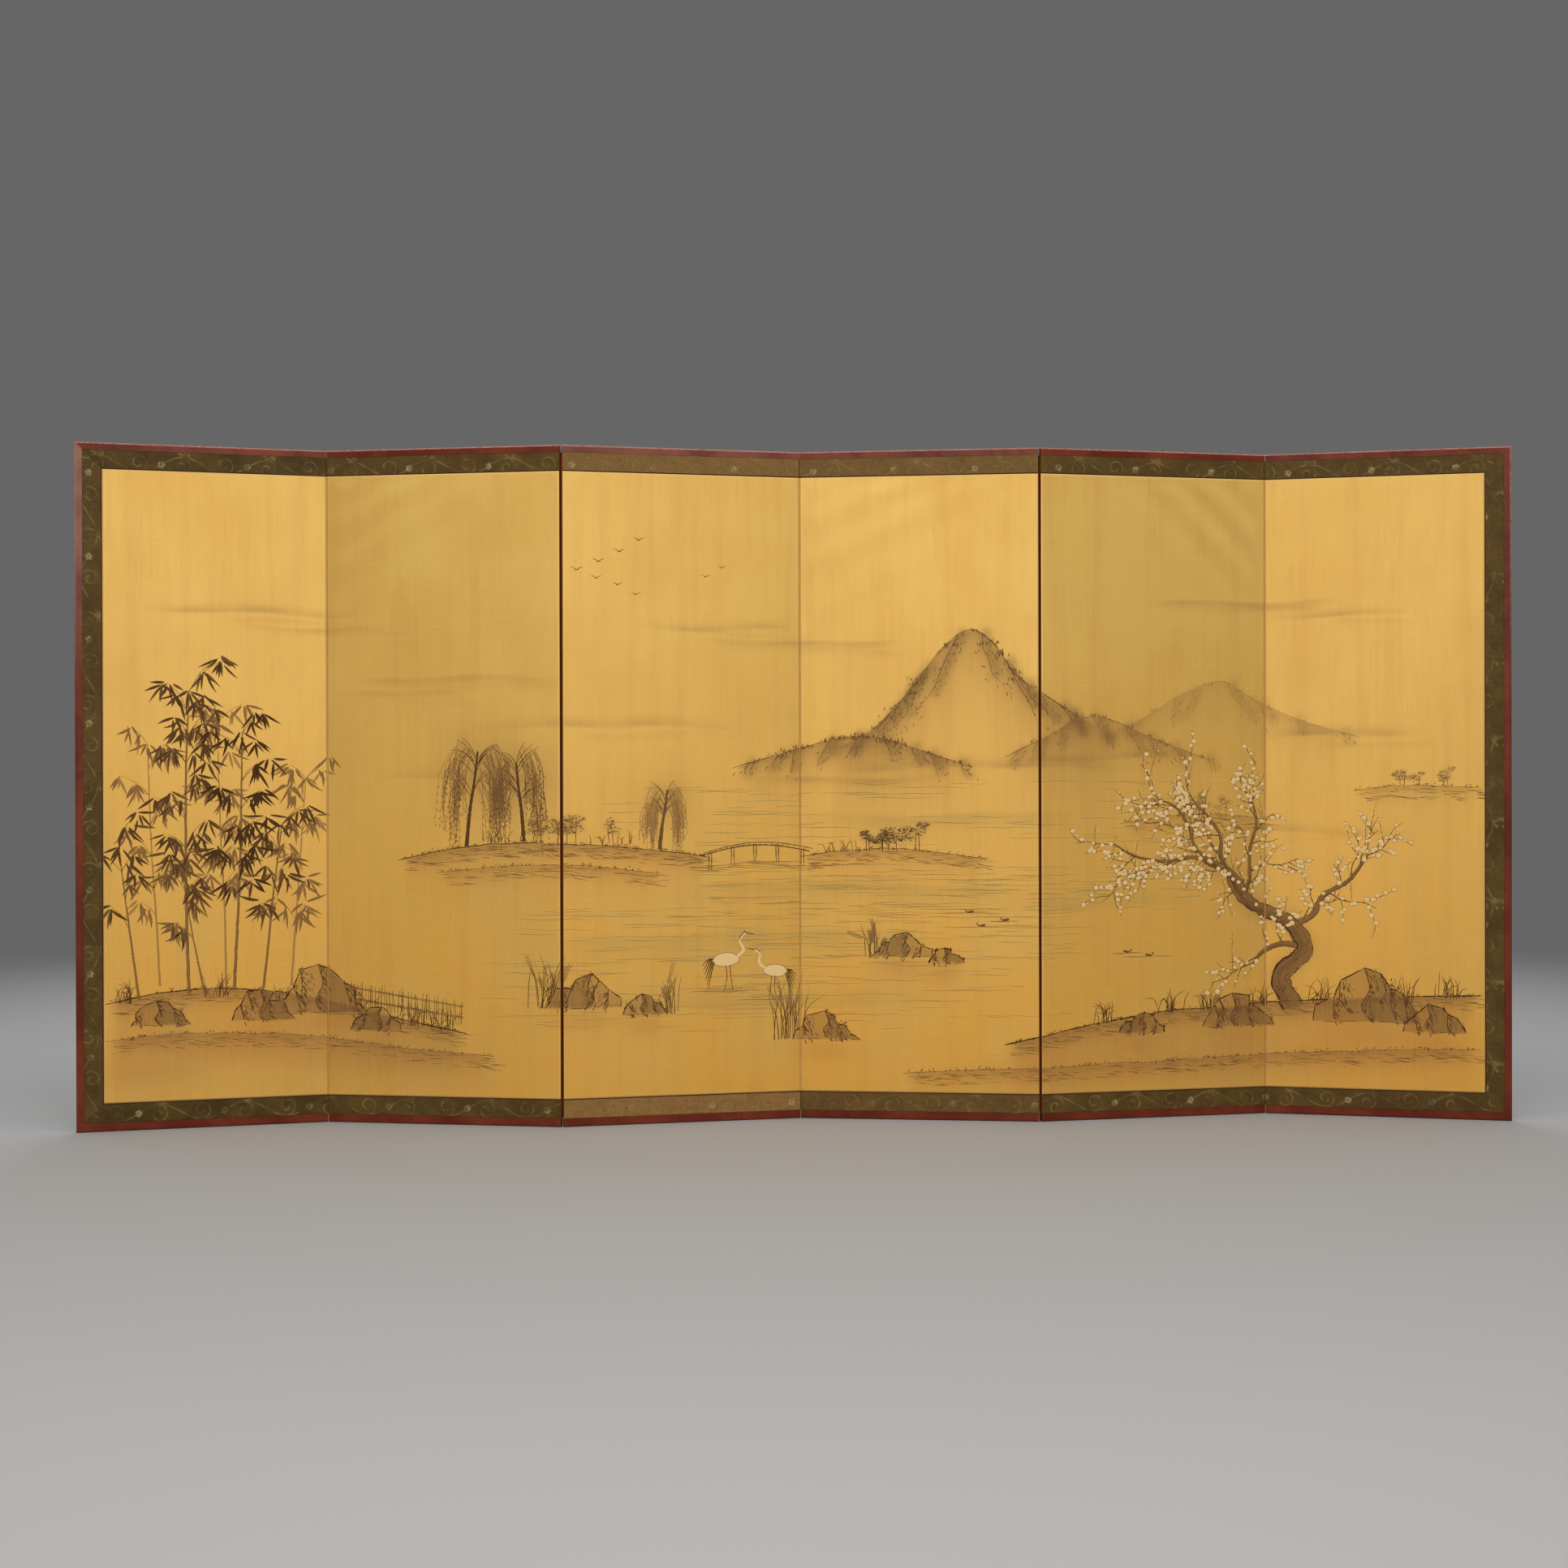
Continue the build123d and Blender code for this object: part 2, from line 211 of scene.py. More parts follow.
def gold_silk():
    """Gold-toned silk: streaky fine weave, darker and more orange low down, with soft washes."""
    m = Material("gold_silk", metallic=0.22, specular_ior_level=0.20)
    cloth = m.attribute("cloth")
    height = m.split(cloth)[1]
    warp = m.noise(cloth, (330, 9, 1), 3.0, 0.6)         # long thin streaks up the silk
    weft = m.noise(cloth, (13, 380, 1), 2.0, 0.6)        # shorter slubs across it
    broad = m.noise(cloth, (26, 1.3, 1), 3.0, 0.55)
    age = m.noise(cloth, (4.2, 3.4, 3), 4.0, 0.55)
    spots = m.noise(cloth, (42, 42, 9), 3.0, 0.6)
    grain = warp * 0.5 + weft * 0.5
    held = m.span(grain, 0.30, 0.70, 0.78, 1.12)         # how well the silk takes a wash
    edge, lit, shaded = m.split(m.attribute("cast"))
    warm, grey, green = m.split(m.attribute("wash"))
    m.shade(base_color=m.layers(
        # painted sheen: paler and yellower at the top, more orange low down, as light from above falls on
        # the silk
        m.mix(m.span(height, 1.50, 0.10), (214, 172, 88), (213, 158, 65)),
        (m.span(age, 0.34, 0.70), (208, 163, 79)),
        (m.span(broad, 0.42, 0.72, 0.0, 0.28), (194, 146, 70)),
        (m.span(warp, 0.48, 0.78, 0.0, 0.20), (184, 136, 62)),
        (m.span(weft, 0.50, 0.80, 0.0, 0.18), (234, 192, 112)),
        (m.span(spots, 0.66, 0.80, 0.0, 0.18), (170, 122, 60)),
        (edge, (236, 202, 132)),
        (lit, (238, 200, 118)),
        (shaded, (178, 132, 60)),
        (m.math("MULTIPLY", warm, held, clamp=True), (164, 106, 52)),
        (m.math("MULTIPLY", grey, held, clamp=True), (104, 78, 48)),
        (m.math("MULTIPLY", green, held, clamp=True), (136, 128, 76)),
    ))
    inked = m.math("ADD", warm + grey, green, clamp=True)
    m.shade(roughness=0.47 + (grain - 0.5) * 0.20 + inked * 0.22)
    m.bump(grain, 0.12 * MM, 0.5)
    return m.material


def brocade():
    """Olive silk brocade with a paler woven scroll and a dark turned edge beside the gold."""
    m = Material("brocade", sheen_weight=0.03, sheen_roughness=0.45, specular_ior_level=0.10,
                 sheen_tint=(190, 160, 100))
    cloth = m.attribute("cloth")
    patch = m.noise(cloth, (14, 14, 3), 3.0, 0.6)
    gone = m.noise(cloth, (38, 38, 9), 3.0, 0.6)
    weave = (m.noise(cloth, (700, 50, 1), 2.0, 0.5) + m.noise(cloth, (50, 620, 1), 2.0, 0.5)) * 0.5
    vine, bloom, turned_in = m.split(m.attribute("woven"))
    kept = m.span(gone, 0.42, 0.62, 0.10, 0.75)          # what is left of the scroll's threads
    m.shade(base_color=m.layers(
        m.mix(m.span(patch, 0.32, 0.68), (69, 52, 21), (90, 69, 31)),
        # painted sheen, partly fading: paler tan where a strip catches the light
        (m.attribute("faded", "Fac"), (148, 110, 62)),
        (m.span(weave, 0.40, 0.66, 0.0, 0.45), (52, 42, 16)),
        (vine * kept * m.span(weave, 0.3, 0.6, 0.6, 1.0),
         m.mix(m.span(patch, 0.30, 0.70), (112, 98, 54), (140, 118, 68))),
        (bloom * (0.05 + kept), (158, 140, 96)),
        (turned_in, (66, 40, 12)),
    ))
    m.shade(roughness=m.span(weave, 0.3, 0.7, 0.52, 0.70))
    m.bump(weave + vine * 0.5, 0.18 * MM, 0.8)
    return m.material


def lacquer(panel, name, dust_and_highlight):
    """Dark red lacquer with brush unevenness. Its rounded edges are lighter, partly worn and partly a
    painted highlight that grows towards the top, where light falls from above; towards the top the lacquer
    is also paler, partly dusty and partly a painted highlight."""
    m = Material(name, coat_weight=0.03, coat_roughness=0.36, specular_ior_level=0.08)
    place = m.own(panel)
    brush = m.noise(place, (30, 160, 30), 4.0, 0.6)
    cloud = m.noise(place, 6.0, 3.0, 0.6)
    chips = m.noise(place, 130.0, 4.0, 0.65)
    bends = [m.math("ABSOLUTE", part) for part in m.split(m.own(panel, "Normal"))]
    flat = m.math("MAXIMUM", m.math("MAXIMUM", *bends[:2]), bends[2])
    high = m.split(place)[2]
    # painted highlight: the lighter rounded edges grow stronger towards the top, where light falls from
    # above; the chip noise below makes part of it real wear
    edge = m.span(flat, 0.995, 0.88) * m.span(high, 1.0, 1.6, 0.06, 1.0)
    rubbed_and_highlight = edge * m.span(chips, 0.34, 0.60, 0.45, 0.95)
    m.shade(base_color=m.layers(
        m.mix(m.span(cloud, 0.34, 0.68), (93, 35, 20), (114, 50, 30)),
        (m.span(brush, 0.48, 0.72, 0.0, 0.5), (80, 27, 14)),
        (rubbed_and_highlight, (176, 126, 112)),
        # paler towards the top, partly dusty and partly a painted highlight of light falling from above
        (m.span(high, 1.05, 1.70) * m.span(cloud, 0.30, 0.60, 0.5 * dust_and_highlight, dust_and_highlight), (160, 120, 104)),
        (m.span(chips, 0.70, 0.76, 0.0, 0.6), (58, 22, 14)),
    ))
    m.shade(roughness=m.span(brush, 0.3, 0.7, 0.36, 0.50) + rubbed_and_highlight * 0.15)
    m.bump(brush + chips * 0.3, 0.2 * MM, 0.5)
    return m.material


LOZENGE = 0.072                          # repeat of the back paper's pattern
LOZENGE_SLANT = 0.62
SHEET_HEIGHT = 0.43                      # of one sheet of the back paper


def back_paper(panel):
    """Block-printed paper: a diaper of lozenges with four-petalled flowers, in sheets."""
    m = Material(f"back_paper_{panel.number}", specular_ior_level=0.3)
    place = m.own(panel)
    x, _, z = m.split(place)
    a = m.math("FRACT", (x + z * LOZENGE_SLANT) / LOZENGE) - 0.5
    b = m.math("FRACT", (x - z * LOZENGE_SLANT) / LOZENGE) - 0.5
    far = m.math("MAXIMUM", m.math("ABSOLUTE", a), m.math("ABSOLUTE", b))
    frame_line = m.span(far, 0.445, 0.460) * m.span(far, 0.500, 0.485)
    inner_line = m.span(far, 0.385, 0.395) * m.span(far, 0.415, 0.405)
    radius = m.math("SQRT", a * a + b * b)
    lobes = m.math("ABSOLUTE", m.math("COSINE", m.math("ARCTAN2", b, a) * 2.0))
    flower = m.span(0.27 * m.math("POWER", lobes, 0.45) - radius, 0.0, 0.022)
    vein = m.span(lobes, 0.985, 0.998) * m.span(radius, 0.20, 0.17)
    heart = m.span(radius, 0.060, 0.045)
    drawn = m.math("MAXIMUM", m.math("MAXIMUM", frame_line, inner_line * 0.6), flower)
    for bare in (vein, heart):
        drawn = m.math("MULTIPLY", drawn, 1.0 - bare, clamp=True)
    fibre = m.noise(place, (60, 60, 320), 4.0, 0.7)
    patch = m.noise(place, 4.5, 4.0, 0.6)
    printed = drawn * m.span(fibre, 0.30, 0.60, 0.45, 0.9)
    seam = m.span(m.math("ABSOLUTE", m.math("FRACT", z / SHEET_HEIGHT) - 0.5), 0.489, 0.497)
    m.shade(base_color=m.layers(
        m.mix(m.span(patch, 0.34, 0.68), (92, 104, 90), (110, 118, 98)),
        (m.span(fibre, 0.52, 0.74, 0.0, 0.30), (136, 140, 118)),
        (printed, (166, 160, 130)),
        (seam * 0.35, (64, 72, 62)),
    ))
    m.shade(roughness=m.span(fibre, 0.3, 0.7, 0.90, 0.80) - printed * 0.16)
    return m.material


def hinge_paper(panel, golden):
    """Tough brown washi. Where the painted fronts close together its folded edge shows from in
    front, and is gold beside the painting and dark beside the brocade."""
    kind = "gold" if golden else "brown"
    m = Material(f"hinge_paper_{kind}_{panel.number}", roughness=0.85, specular_ior_level=0.2)
    place = m.own(panel)
    fibre = m.span(m.noise(place, (90, 90, 30), 3.0, 0.7), 0.35, 0.70)
    colour = m.mix(fibre, (120, 58, 12), (150, 76, 16))
    if golden:
        _, depth, z = m.split(place)
        (bottom, top), (_, front) = panel.silk[1:]
        painted = m.math("GREATER_THAN", z, bottom) * m.math("LESS_THAN", z, top)
        edge = m.mix(painted, (92, 62, 30), m.mix(fibre, (204, 150, 70), (222, 170, 86)))
        colour = m.mix(m.math("LESS_THAN", depth, 0.2 * MM - front), colour, edge)
    m.shade(base_color=colour)
    return m.material


def wear(node, material):
    """Gives a CAD node one material."""
    data = nodes[node].data
    data.materials.clear()
    data.materials.append(material)


# ------------------------------------------------------------------ meshes
def show(piece):
    bpy.context.scene.collection.objects.link(piece)
    return piece


def mesh_object(name, points, faces, panel, *materials):
    """A smooth mesh of quads that rides on a panel. faces is an (n, 4) array."""
    mesh = bpy.data.meshes.new(name)
    mesh.vertices.add(len(points))
    mesh.vertices.foreach_set("co", np.asarray(points, np.float32).ravel())
    mesh.loops.add(faces.size)
    mesh.loops.foreach_set("vertex_index", faces.astype(np.int32).ravel())
    mesh.polygons.add(len(faces))
    mesh.polygons.foreach_set("loop_start", np.arange(0, faces.size, 4, dtype=np.int32))
    mesh.update(calc_edges=True)
    mesh.polygons.foreach_set("use_smooth", np.ones(len(faces), bool))
    for material in materials:
        mesh.materials.append(material)
    piece = show(bpy.data.objects.new(name, mesh))
    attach(piece, panel.body)
    return piece


def give(piece, name, values):
    """Stores a value or a vector for each point."""
    kind, key = ("FLOAT", "value") if values.ndim == 1 else ("FLOAT_VECTOR", "vector")
    attribute = piece.data.attributes.new(name, kind, "POINT")
    attribute.data.foreach_set(key, values.astype(np.float32).ravel())


def grid_faces(columns, rows):
    """Quads of a grid whose points run along x first, facing the viewer."""
    index = np.arange(columns * rows).reshape(rows, columns)
    return np.stack([index[:-1, :-1], index[:-1, 1:], index[1:, 1:], index[1:, :-1]], -1).reshape(-1, 4)


def cloth_mesh(x, z, front, back):
    """A cloth over a grid of x and z: its front with a height for each point, and turned-down
    edges. Returns the places of all points, the faces, and the point of the front each stands on."""
    rows, columns = x.shape
    index = np.arange(x.size).reshape(rows, columns)
    outline = np.concatenate([index[0, :-1], index[:-1, -1], index[-1, :0:-1], index[:0:-1, 0]])
    lower = x.size + np.arange(len(outline))
    skirt = np.stack([outline, lower, np.roll(lower, -1), np.roll(outline, -1)], -1)
    every = np.concatenate([np.arange(x.size), outline])
    d = np.concatenate([front.ravel(), np.full(len(outline), back)])
    return x.ravel()[every], z.ravel()[every], d, np.concatenate([grid_faces(columns, rows), skirt]), every


def smoothstep(low, high, value):
    t = np.clip((value - low) / (high - low), 0, 1)
    return t * t * (3 - 2 * t)


# ------------------------------------------------------------------ the silk
SILK_STEP = 4.0 * MM
SWELL_RISE = 0.30 * MM
RIPPLE_RISE = 1.0 * MM
RIPPLES = {
    # panel: (centre u from its left, height z, reach, direction in degrees, wavelength)
    2: (0.13, 1.55, 0.26, 38, 0.110),
    4: (0.16, 1.57, 0.30, 32, 0.120),
    5: (0.48, 1.57, 0.24, -40, 0.105),
}
GLUED_EDGE = 0.045                       # how far in the silk's relief reaches its full height
RELIEF_SHIFT, NOISE_SHIFT = 1.7, 3.7     # make each panel's swell and its noise its own
PALE_EDGE, PALE_SHARE = 5 * MM, 0.45     # the paler glued edge, its width and its strength
FULL_LEAN = 0.05                         # the slope at which a ripple is fully lit or shaded
LIT, SHADED = 0.26, 0.24


def from_edge(panel, x, z):
    """The distance to the nearest edge of a panel's silk."""
    (x0, x1), (z0, z1) = panel.silk[:2]
    return np.minimum(np.minimum(x - x0, x1 - x), np.minimum(z - z0, z1 - z))


def ripple(panel, x, z):
    """Soft diagonal ripples near the top of three panels."""
    if panel.number not in RIPPLES:
        return np.zeros_like(x)
    cu, cz, reach, angle, wave = RIPPLES[panel.number]
    a, u = math.radians(angle), x - panel.silk[0][0]
    along = (u - cu) * math.cos(a) + (z - cz) * math.sin(a)
    off = (z - cz) * math.cos(a) - (u - cu) * math.sin(a)
    near = np.exp(-((along / reach) ** 2) - (off / (0.6 * reach)) ** 2)
    turn = 2 * math.pi * off / wave + 3 * along + 1.3 * np.sin(9 * off + 4 * along)
    free = smoothstep(0.0, GLUED_EDGE, from_edge(panel, x, z))
    return free * RIPPLE_RISE * near * (0.5 + 0.5 * np.sin(turn))


def relief(panel, x, z):
    """How far the silk stands off its backing, beyond its own thickness."""
    u, seed = x - panel.silk[0][0], panel.number * RELIEF_SHIFT
    swell = 0.5 + 0.25 * np.sin(9.1 * u + 2.3 * z + seed) + 0.25 * np.sin(4.7 * z - 5.2 * u + 2 * seed)
    free = smoothstep(0.0, GLUED_EDGE, from_edge(panel, x, z))
    return free * SWELL_RISE * swell + ripple(panel, x, z)


# ------------------------------------------------------------------ washes of the painting
WARM, GREY, GREEN = 0, 1, 2
HEAVIEST_WASH = 0.95
washes = []                              # (channel, its box of u and z, its strength at points there)


def distance(points, U, Z):
    """How far each (U, Z) is from a line of points."""
    near = np.full(U.shape, 9.0)
    for (au, az), (bu, bz) in zip(points, points[1:]):
        du, dz = bu - au, bz - az
        t = np.clip(((U - au) * du + (Z - az) * dz) / (du * du + dz * dz + 1e-12), 0, 1)
        np.minimum(near, np.hypot(U - au - t * du, Z - az - t * dz), out=near)
    return near


def within(ring, u, z):
    """Which of the points (u, z) lie inside a closed ring of corners."""
    inside = np.zeros(np.shape(u), bool)
    for (au, az), (bu, bz) in zip(ring, np.roll(ring, -1, 0)):
        slant = (bu - au) / (bz - az if bz != az else 1e-12)
        inside ^= ((az > z) != (bz > z)) & (u < au + (z - az) * slant)
    return inside


def add_wash(channel, low, high, margin, shape):
    """Keeps a wash, with its box from two corners and a margin round them."""
    (u0, z0), (u1, z1), (du, dz) = low, high, margin
    washes.append((channel, u0 - du, u1 + du, z0 - dz, z1 + dz, shape))


def mist(u, z, length, thick, strength, channel=GREY):
    """A long level stroke, firm along one side, that dies away at both ends."""
    phase, firm = uniform(0, 6), choice([-1, 1])

    def shape(U, Z):
        mid = z + 0.006 * np.sin(U * 7 + phase) + 0.003 * np.sin(U * 19 + phase)
        off = (Z - mid) / thick * firm
        body = np.exp(-((off * np.where(off > 0, 2.6, 0.8)) ** 2))
        ends = smoothstep(length / 2, length * 0.16, np.abs(U - u))
        return strength * body * ends * (0.8 + 0.2 * np.sin(U * 33 + phase))
    add_wash(channel, (u, z), (u, z), (length / 2, 3 * thick + 0.01), shape)


def slope(ridge, depth, strength, channel, fade=0.05):
    """Colour under a ridge line of (u, z) points, fading down the slope and at both ends."""
    ridge = ridge[np.argsort(ridge[:, 0])]
    low, high = ridge.min(0), ridge.max(0)

    def shape(U, Z):
        down = np.interp(U, ridge[:, 0], ridge[:, 1]) - Z
        body = smoothstep(-0.004, 0.004, down) * np.exp(-np.maximum(down, 0) / depth)
        ends = smoothstep(low[0], low[0] + fade, U) * smoothstep(high[0], high[0] - fade, U)
        return strength * body * ends
    add_wash(channel, low, high, (0, 5 * depth), shape)


def pool(u, z, wide, high, strength, channel):
    def shape(U, Z):
        return strength * np.exp(-1.6 * (((U - u) / wide) ** 2 + ((Z - z) / high) ** 2))
    add_wash(channel, (u, z), (u, z), (2 * wide, 2 * high), shape)


def trail(points, reach, strength, channel):
    """A soft band along a line of points."""
    def shape(U, Z):
        return strength * np.exp(-((distance(points, U, Z) / reach) ** 2))
    add_wash(channel, points.min(0), points.max(0), (2.2 * reach, 2.2 * reach), shape)


def fill(ring, strength, channel, soft=3 * MM):
    """Colour inside a closed outline."""
    def shape(U, Z):
        near = distance(np.concatenate([ring, ring[:1]]), U, Z)
        return strength * smoothstep(-soft, soft, np.where(within(ring, U, Z), near, -near))
    add_wash(channel, ring.min(0), ring.max(0), (soft, soft), shape)


def wash_at(U, Z):
    """The three channels of wash at points of the painting."""
    bare = np.ones((3, U.size))
    for channel, u0, u1, z0, z1, shape in washes:
        near = np.flatnonzero((U > u0) & (U < u1) & (Z > z0) & (Z < z1))
        if near.size:
            bare[channel, near] *= 1 - np.clip(shape(U[near], Z[near]), 0, HEAVIEST_WASH)
    return 1 - bare


# ------------------------------------------------------------------ brush strokes
TONES = {
    # name: colour; a later one lies over an earlier one
    "stream": (150, 132, 76),
    "pale": (166, 125, 66),
    "soft": (136, 99, 54),
    "mid": (109, 78, 43),
    "dark": (88, 59, 30),
    "deep": (70, 44, 20),
    "petal": (226, 194, 134),
    "stamen": (122, 76, 48),
}
TONE_ORDER = list(TONES)
INK_RISE = 0.14 * MM                     # of a stroke's middle over the silk
INK_LAYER = 0.035 * MM                   # more for each later tone
STROKE_LAYER = 1.2e-6                    # more for each later stroke, in turns of nine
INK_DIP = 0.06 * MM                      # of a stroke's edges into the silk
INK_MARGIN = 0.4 * MM                    # bare silk at a panel's edges
BROAD_STROKE = 5 * MM                    # from this width on a stroke has a flat top
FLAT_TOP = 0.8                           # the share of a broad stroke or a shape at full height
CUT_OFF = 1e-6                           # a quad smaller than this lies beyond a panel's edge
strokes = []        # (tone, points, widths) of a ribbon, (tone, centre, outline) of a filled shape
nearer = []         # outlines of stones and hills that hide what is drawn after them


def stroke(points, widths, tone):
    """A ribbon along the points, but for the runs of it that something nearer hides."""
    points = np.asarray(points, float)
    widths = np.broadcast_to(np.asarray(widths, float), (len(points),))
    free = np.ones(len(points), bool)
    low, high = points.min(0), points.max(0)
    for ring in nearer:
        if (low < ring.max(0)).all() and (high > ring.min(0)).all():
            free &= ~within(ring, points[:, 0], points[:, 1])
    for run in np.split(np.arange(len(points)), np.flatnonzero(np.diff(free)) + 1):
        if free[run[0]] and len(run) > 1:
            strokes.append((TONE_ORDER.index(tone), points[run], widths[run]))


def blob(centre, outline, tone):
    """A filled shape, drawn as ribbons from its middle to its outline."""
    strokes.append((TONE_ORDER.index(tone), np.asarray(centre, float), outline))


def curve(points, step=5 * MM):
    """A smooth line through the points."""
    p = np.asarray(points, float)
    p = np.concatenate([[2 * p[0] - p[1]], p, [2 * p[-1] - p[-2]]])
    runs = []
    for a, b, c, d in zip(p, p[1:], p[2:], p[3:]):
        n = max(2, int(np.linalg.norm(c - b) / step) + 1)
        t = np.linspace(0, 1, n, endpoint=False)[:, None]
        runs.append(0.5 * (2 * b + (c - a) * t + (2 * a - 5 * b + 4 * c - d) * t**2
                           + (3 * b - a - 3 * c + d) * t**3))
    return np.concatenate(runs + [p[-2:-1]])


def taper(n, start=0.25, end=0.08, belly=0.35, jitter=0.10):
    """Widths of a brush stroke from its entry to its tip, as shares of its widest."""
    w = np.interp(np.linspace(0, 1, n), [0, belly * 0.4, belly, 0.8, 1], [start, 0.85, 1, 0.62, end])
    return w * (1 + jitter * rng.standard_normal(n))


def wander(p, share, size):
    """Lets a line wander up and down, but not at its ends."""
    p[:, 1] += size * np.cumsum(normal(0, share, len(p))) * np.hanning(len(p))


def turned(angle, length=1.0):
    return length * np.array([math.cos(angle), math.sin(angle)])


def line(points, width, tone, step=5 * MM, **shape):
    p = curve(points, step)
    stroke(p, width * taper(len(p), **shape), tone)


RIGHT_ANGLE, TURN = 1.57, 6.28           # in radians, as round as a brush needs them


def dab(at, angle, length, width, tone):
    t = np.linspace(0, 1, 5)[:, None]
    p = np.asarray(at) + t * turned(angle, length) + t * (1 - t) * turned(angle + RIGHT_ANGLE, length * 0.2)
    stroke(p, width * np.sin(np.pi * np.clip(t[:, 0], 0.06, 0.97)) ** 0.6, tone)


def leaf(at, angle, length, width, tone):
    t = np.linspace(0, 1, 8)
    a = angle + normal(0, 0.10) + normal(0, 0.22) * t
    p = np.asarray(at) + np.cumsum(np.stack([np.cos(a), np.sin(a)], 1), 0) * length / 8
    stroke(p, width * np.sin(np.pi * np.clip(t, 0.05, 0.985) ** 0.72) ** 0.85, tone)


def dots(at, spread, count, size, tone):
    for _ in range(count):
        p = np.asarray(at) + normal(0, 1, 2) * spread
        dab(p, uniform(-0.6, 0.9), size * uniform(0.7, 1.3), size * uniform(0.5, 0.8), tone)


def foliage(u, z, wide, high, count, tones, size):
    """A clump of leaves in level dabs, darker towards its underside."""
    for _ in range(count):
        a, r = uniform(0, TURN), math.sqrt(random())
        tone = tones[0] if random() < (0.75 if math.sin(a) < 0 else 0.30) else tones[1]
        p = (u + wide / 2 * r * math.cos(a) - size / 2, z + high / 2 * r * math.sin(a))
        dab(p, normal(0, 0.35), size * uniform(0.8, 1.5), size * 0.55, tone)
    pool(u, z, wide * 0.55, high * 0.65, 0.22, GREY)


# ------------------------------------------------------------------ bamboo
PALER = {"deep": "dark", "dark": "mid", "mid": "soft", "soft": "pale", "pale": "pale"}
KNOT_STEP = 0.058                        # between the knots of a culm
KNOT_GAP = 2.2 * MM                      # bare silk at a knot


def bamboo(u, z, height, lean, thick, culm, leaves, lush):
    """A culm in segments, with leafy twigs from its knots."""
    at, angle = np.array([u, z]), math.pi / 2 + lean
    count = max(6, int(height / KNOT_STEP))
    for k in range(count):
        share = k / count
        after = at + turned(angle, height / count * (0.8 + 0.4 * math.sin(math.pi * share)))
        w = thick * (1 - 0.55 * share)
        p = np.linspace(at, after, 5)
        stroke(p, w * np.array([0.95, 0.82, 0.78, 0.82, 0.95]), culm)
        stroke(p[:-1] + turned(angle - RIGHT_ANGLE, w * 0.36), w * 0.26, leaves)
        knot = turned(angle - RIGHT_ANGLE, w * 0.6)
        line([after - knot, after + turned(angle, w * 0.12), after + knot], w * 0.28, leaves, 2 * MM)
        if share > 0.22:
            side = 1 if k % 2 else -1
            bamboo_twig(after, angle, side, leaves, lush * (0.7 + 0.5 * share))
            if random() < 0.45 * lush:
                bamboo_twig(after, angle, -side, leaves, lush * 0.7)
        at, angle = after + turned(angle, KNOT_GAP), angle - lean * 0.03 + normal(0, 0.012)
    bamboo_leaves(at, angle, leaves, 5)


def bamboo_twig(at, angle, side, tone, lush):
    for _ in range(1 + int(random() < lush - 0.2)):
        a = angle - side * uniform(0.45, 0.95)
        length = uniform(0.035, 0.090) * lush
        tip = at + turned(a, length)
        bend = at + turned(a + side * 0.15, length * 0.55)
        line([at, bend, tip], 1.8 * MM, tone, start=0.9, end=0.5)
        bamboo_leaves(tip, a, tone, int(rng.integers(4, 7)))
        if random() < 0.75:
            bamboo_leaves(bend, a - side * 0.4, tone, 3)


def bamboo_leaves(at, angle, tone, count):
    sideways = 0.9 if math.cos(angle) > 0 else -0.9
    for k in range(count):
        fan = -math.pi / 2 + (k - (count - 1) / 2) * 0.46 + normal(0, 0.16) + 0.25 * sideways
        leaf(at + normal(0, 3.5 * MM, 2), fan, uniform(34, 62) * MM, uniform(5.4, 8.2) * MM,
             tone if random() < 0.7 else PALER[tone])


# ------------------------------------------------------------------ bark, branches and blossom
def limb(points, w0, w1, rough):
    """An old branch: a soft body under dry strokes that follow it, dark on its lower side."""
    p = curve(points, 6 * MM)
    n = len(p)
    uneven = 0.07 * np.sin(np.linspace(0, n * 0.7, n)) + 0.04 * rng.standard_normal(n)
    w = np.linspace(w0, w1, n) * (1 + uneven)
    t = np.gradient(p, axis=0)
    t /= np.linalg.norm(t, axis=1)[:, None]
    side = np.stack([-t[:, 1], t[:, 0]], 1)
    stroke(p, w * 0.96, "soft")
    level, upright = side.mean(0)
    lower = 1.0 if upright < 0 else -1.0
    if abs(upright) < 0.3:
        lower = -1.0 if level < 0 else 1.0
    for edge in (-1, 1):
        for a in range(0, n - 3, 5):
            b = min(n, a + int(rng.integers(6, 10)))
            q = p[a:b] + side[a:b] * (edge * 0.48 * w[a:b])[:, None]
            q += normal(0, 0.5 * MM, q.shape)
            heavy = 1.6 if edge == lower else 0.9
            stroke(q, heavy * (0.9 + 0.05 * w[a:b] / MM) * MM * taper(len(q)), "deep")
    for _ in range(int(rough * n * w.mean() / (12 * MM)) + 3):
        a = int(rng.integers(0, max(1, n - 5)))
        b = min(n, a + int(rng.integers(4, 12)))
        f = uniform(-0.42, 0.42)
        f = f if random() < 0.45 else lower * abs(f)
        q = p[a:b] + side[a:b] * (f * w[a:b])[:, None] + normal(0, 0.5 * MM, (b - a, 2))
        tone = "dark" if random() < 0.35 + 0.5 * (f * lower > 0.05) else "mid"
        stroke(q, uniform(1.4, 3.6) * MM * taper(len(q)), tone)
    return p, w


def zigzag(at, angle, length, bends, kink=0.5):
    """Points of an angular branch, and its direction at the end."""
    points, turn = [np.asarray(at, float)], choice([-1, 1])
    for _ in range(bends):
        points.append(points[-1] + turned(angle, length / bends * uniform(0.75, 1.25)))
        angle += turn * uniform(0.25, 1.0) * kink
        turn = -turn if random() < 0.8 else turn
    return points, angle


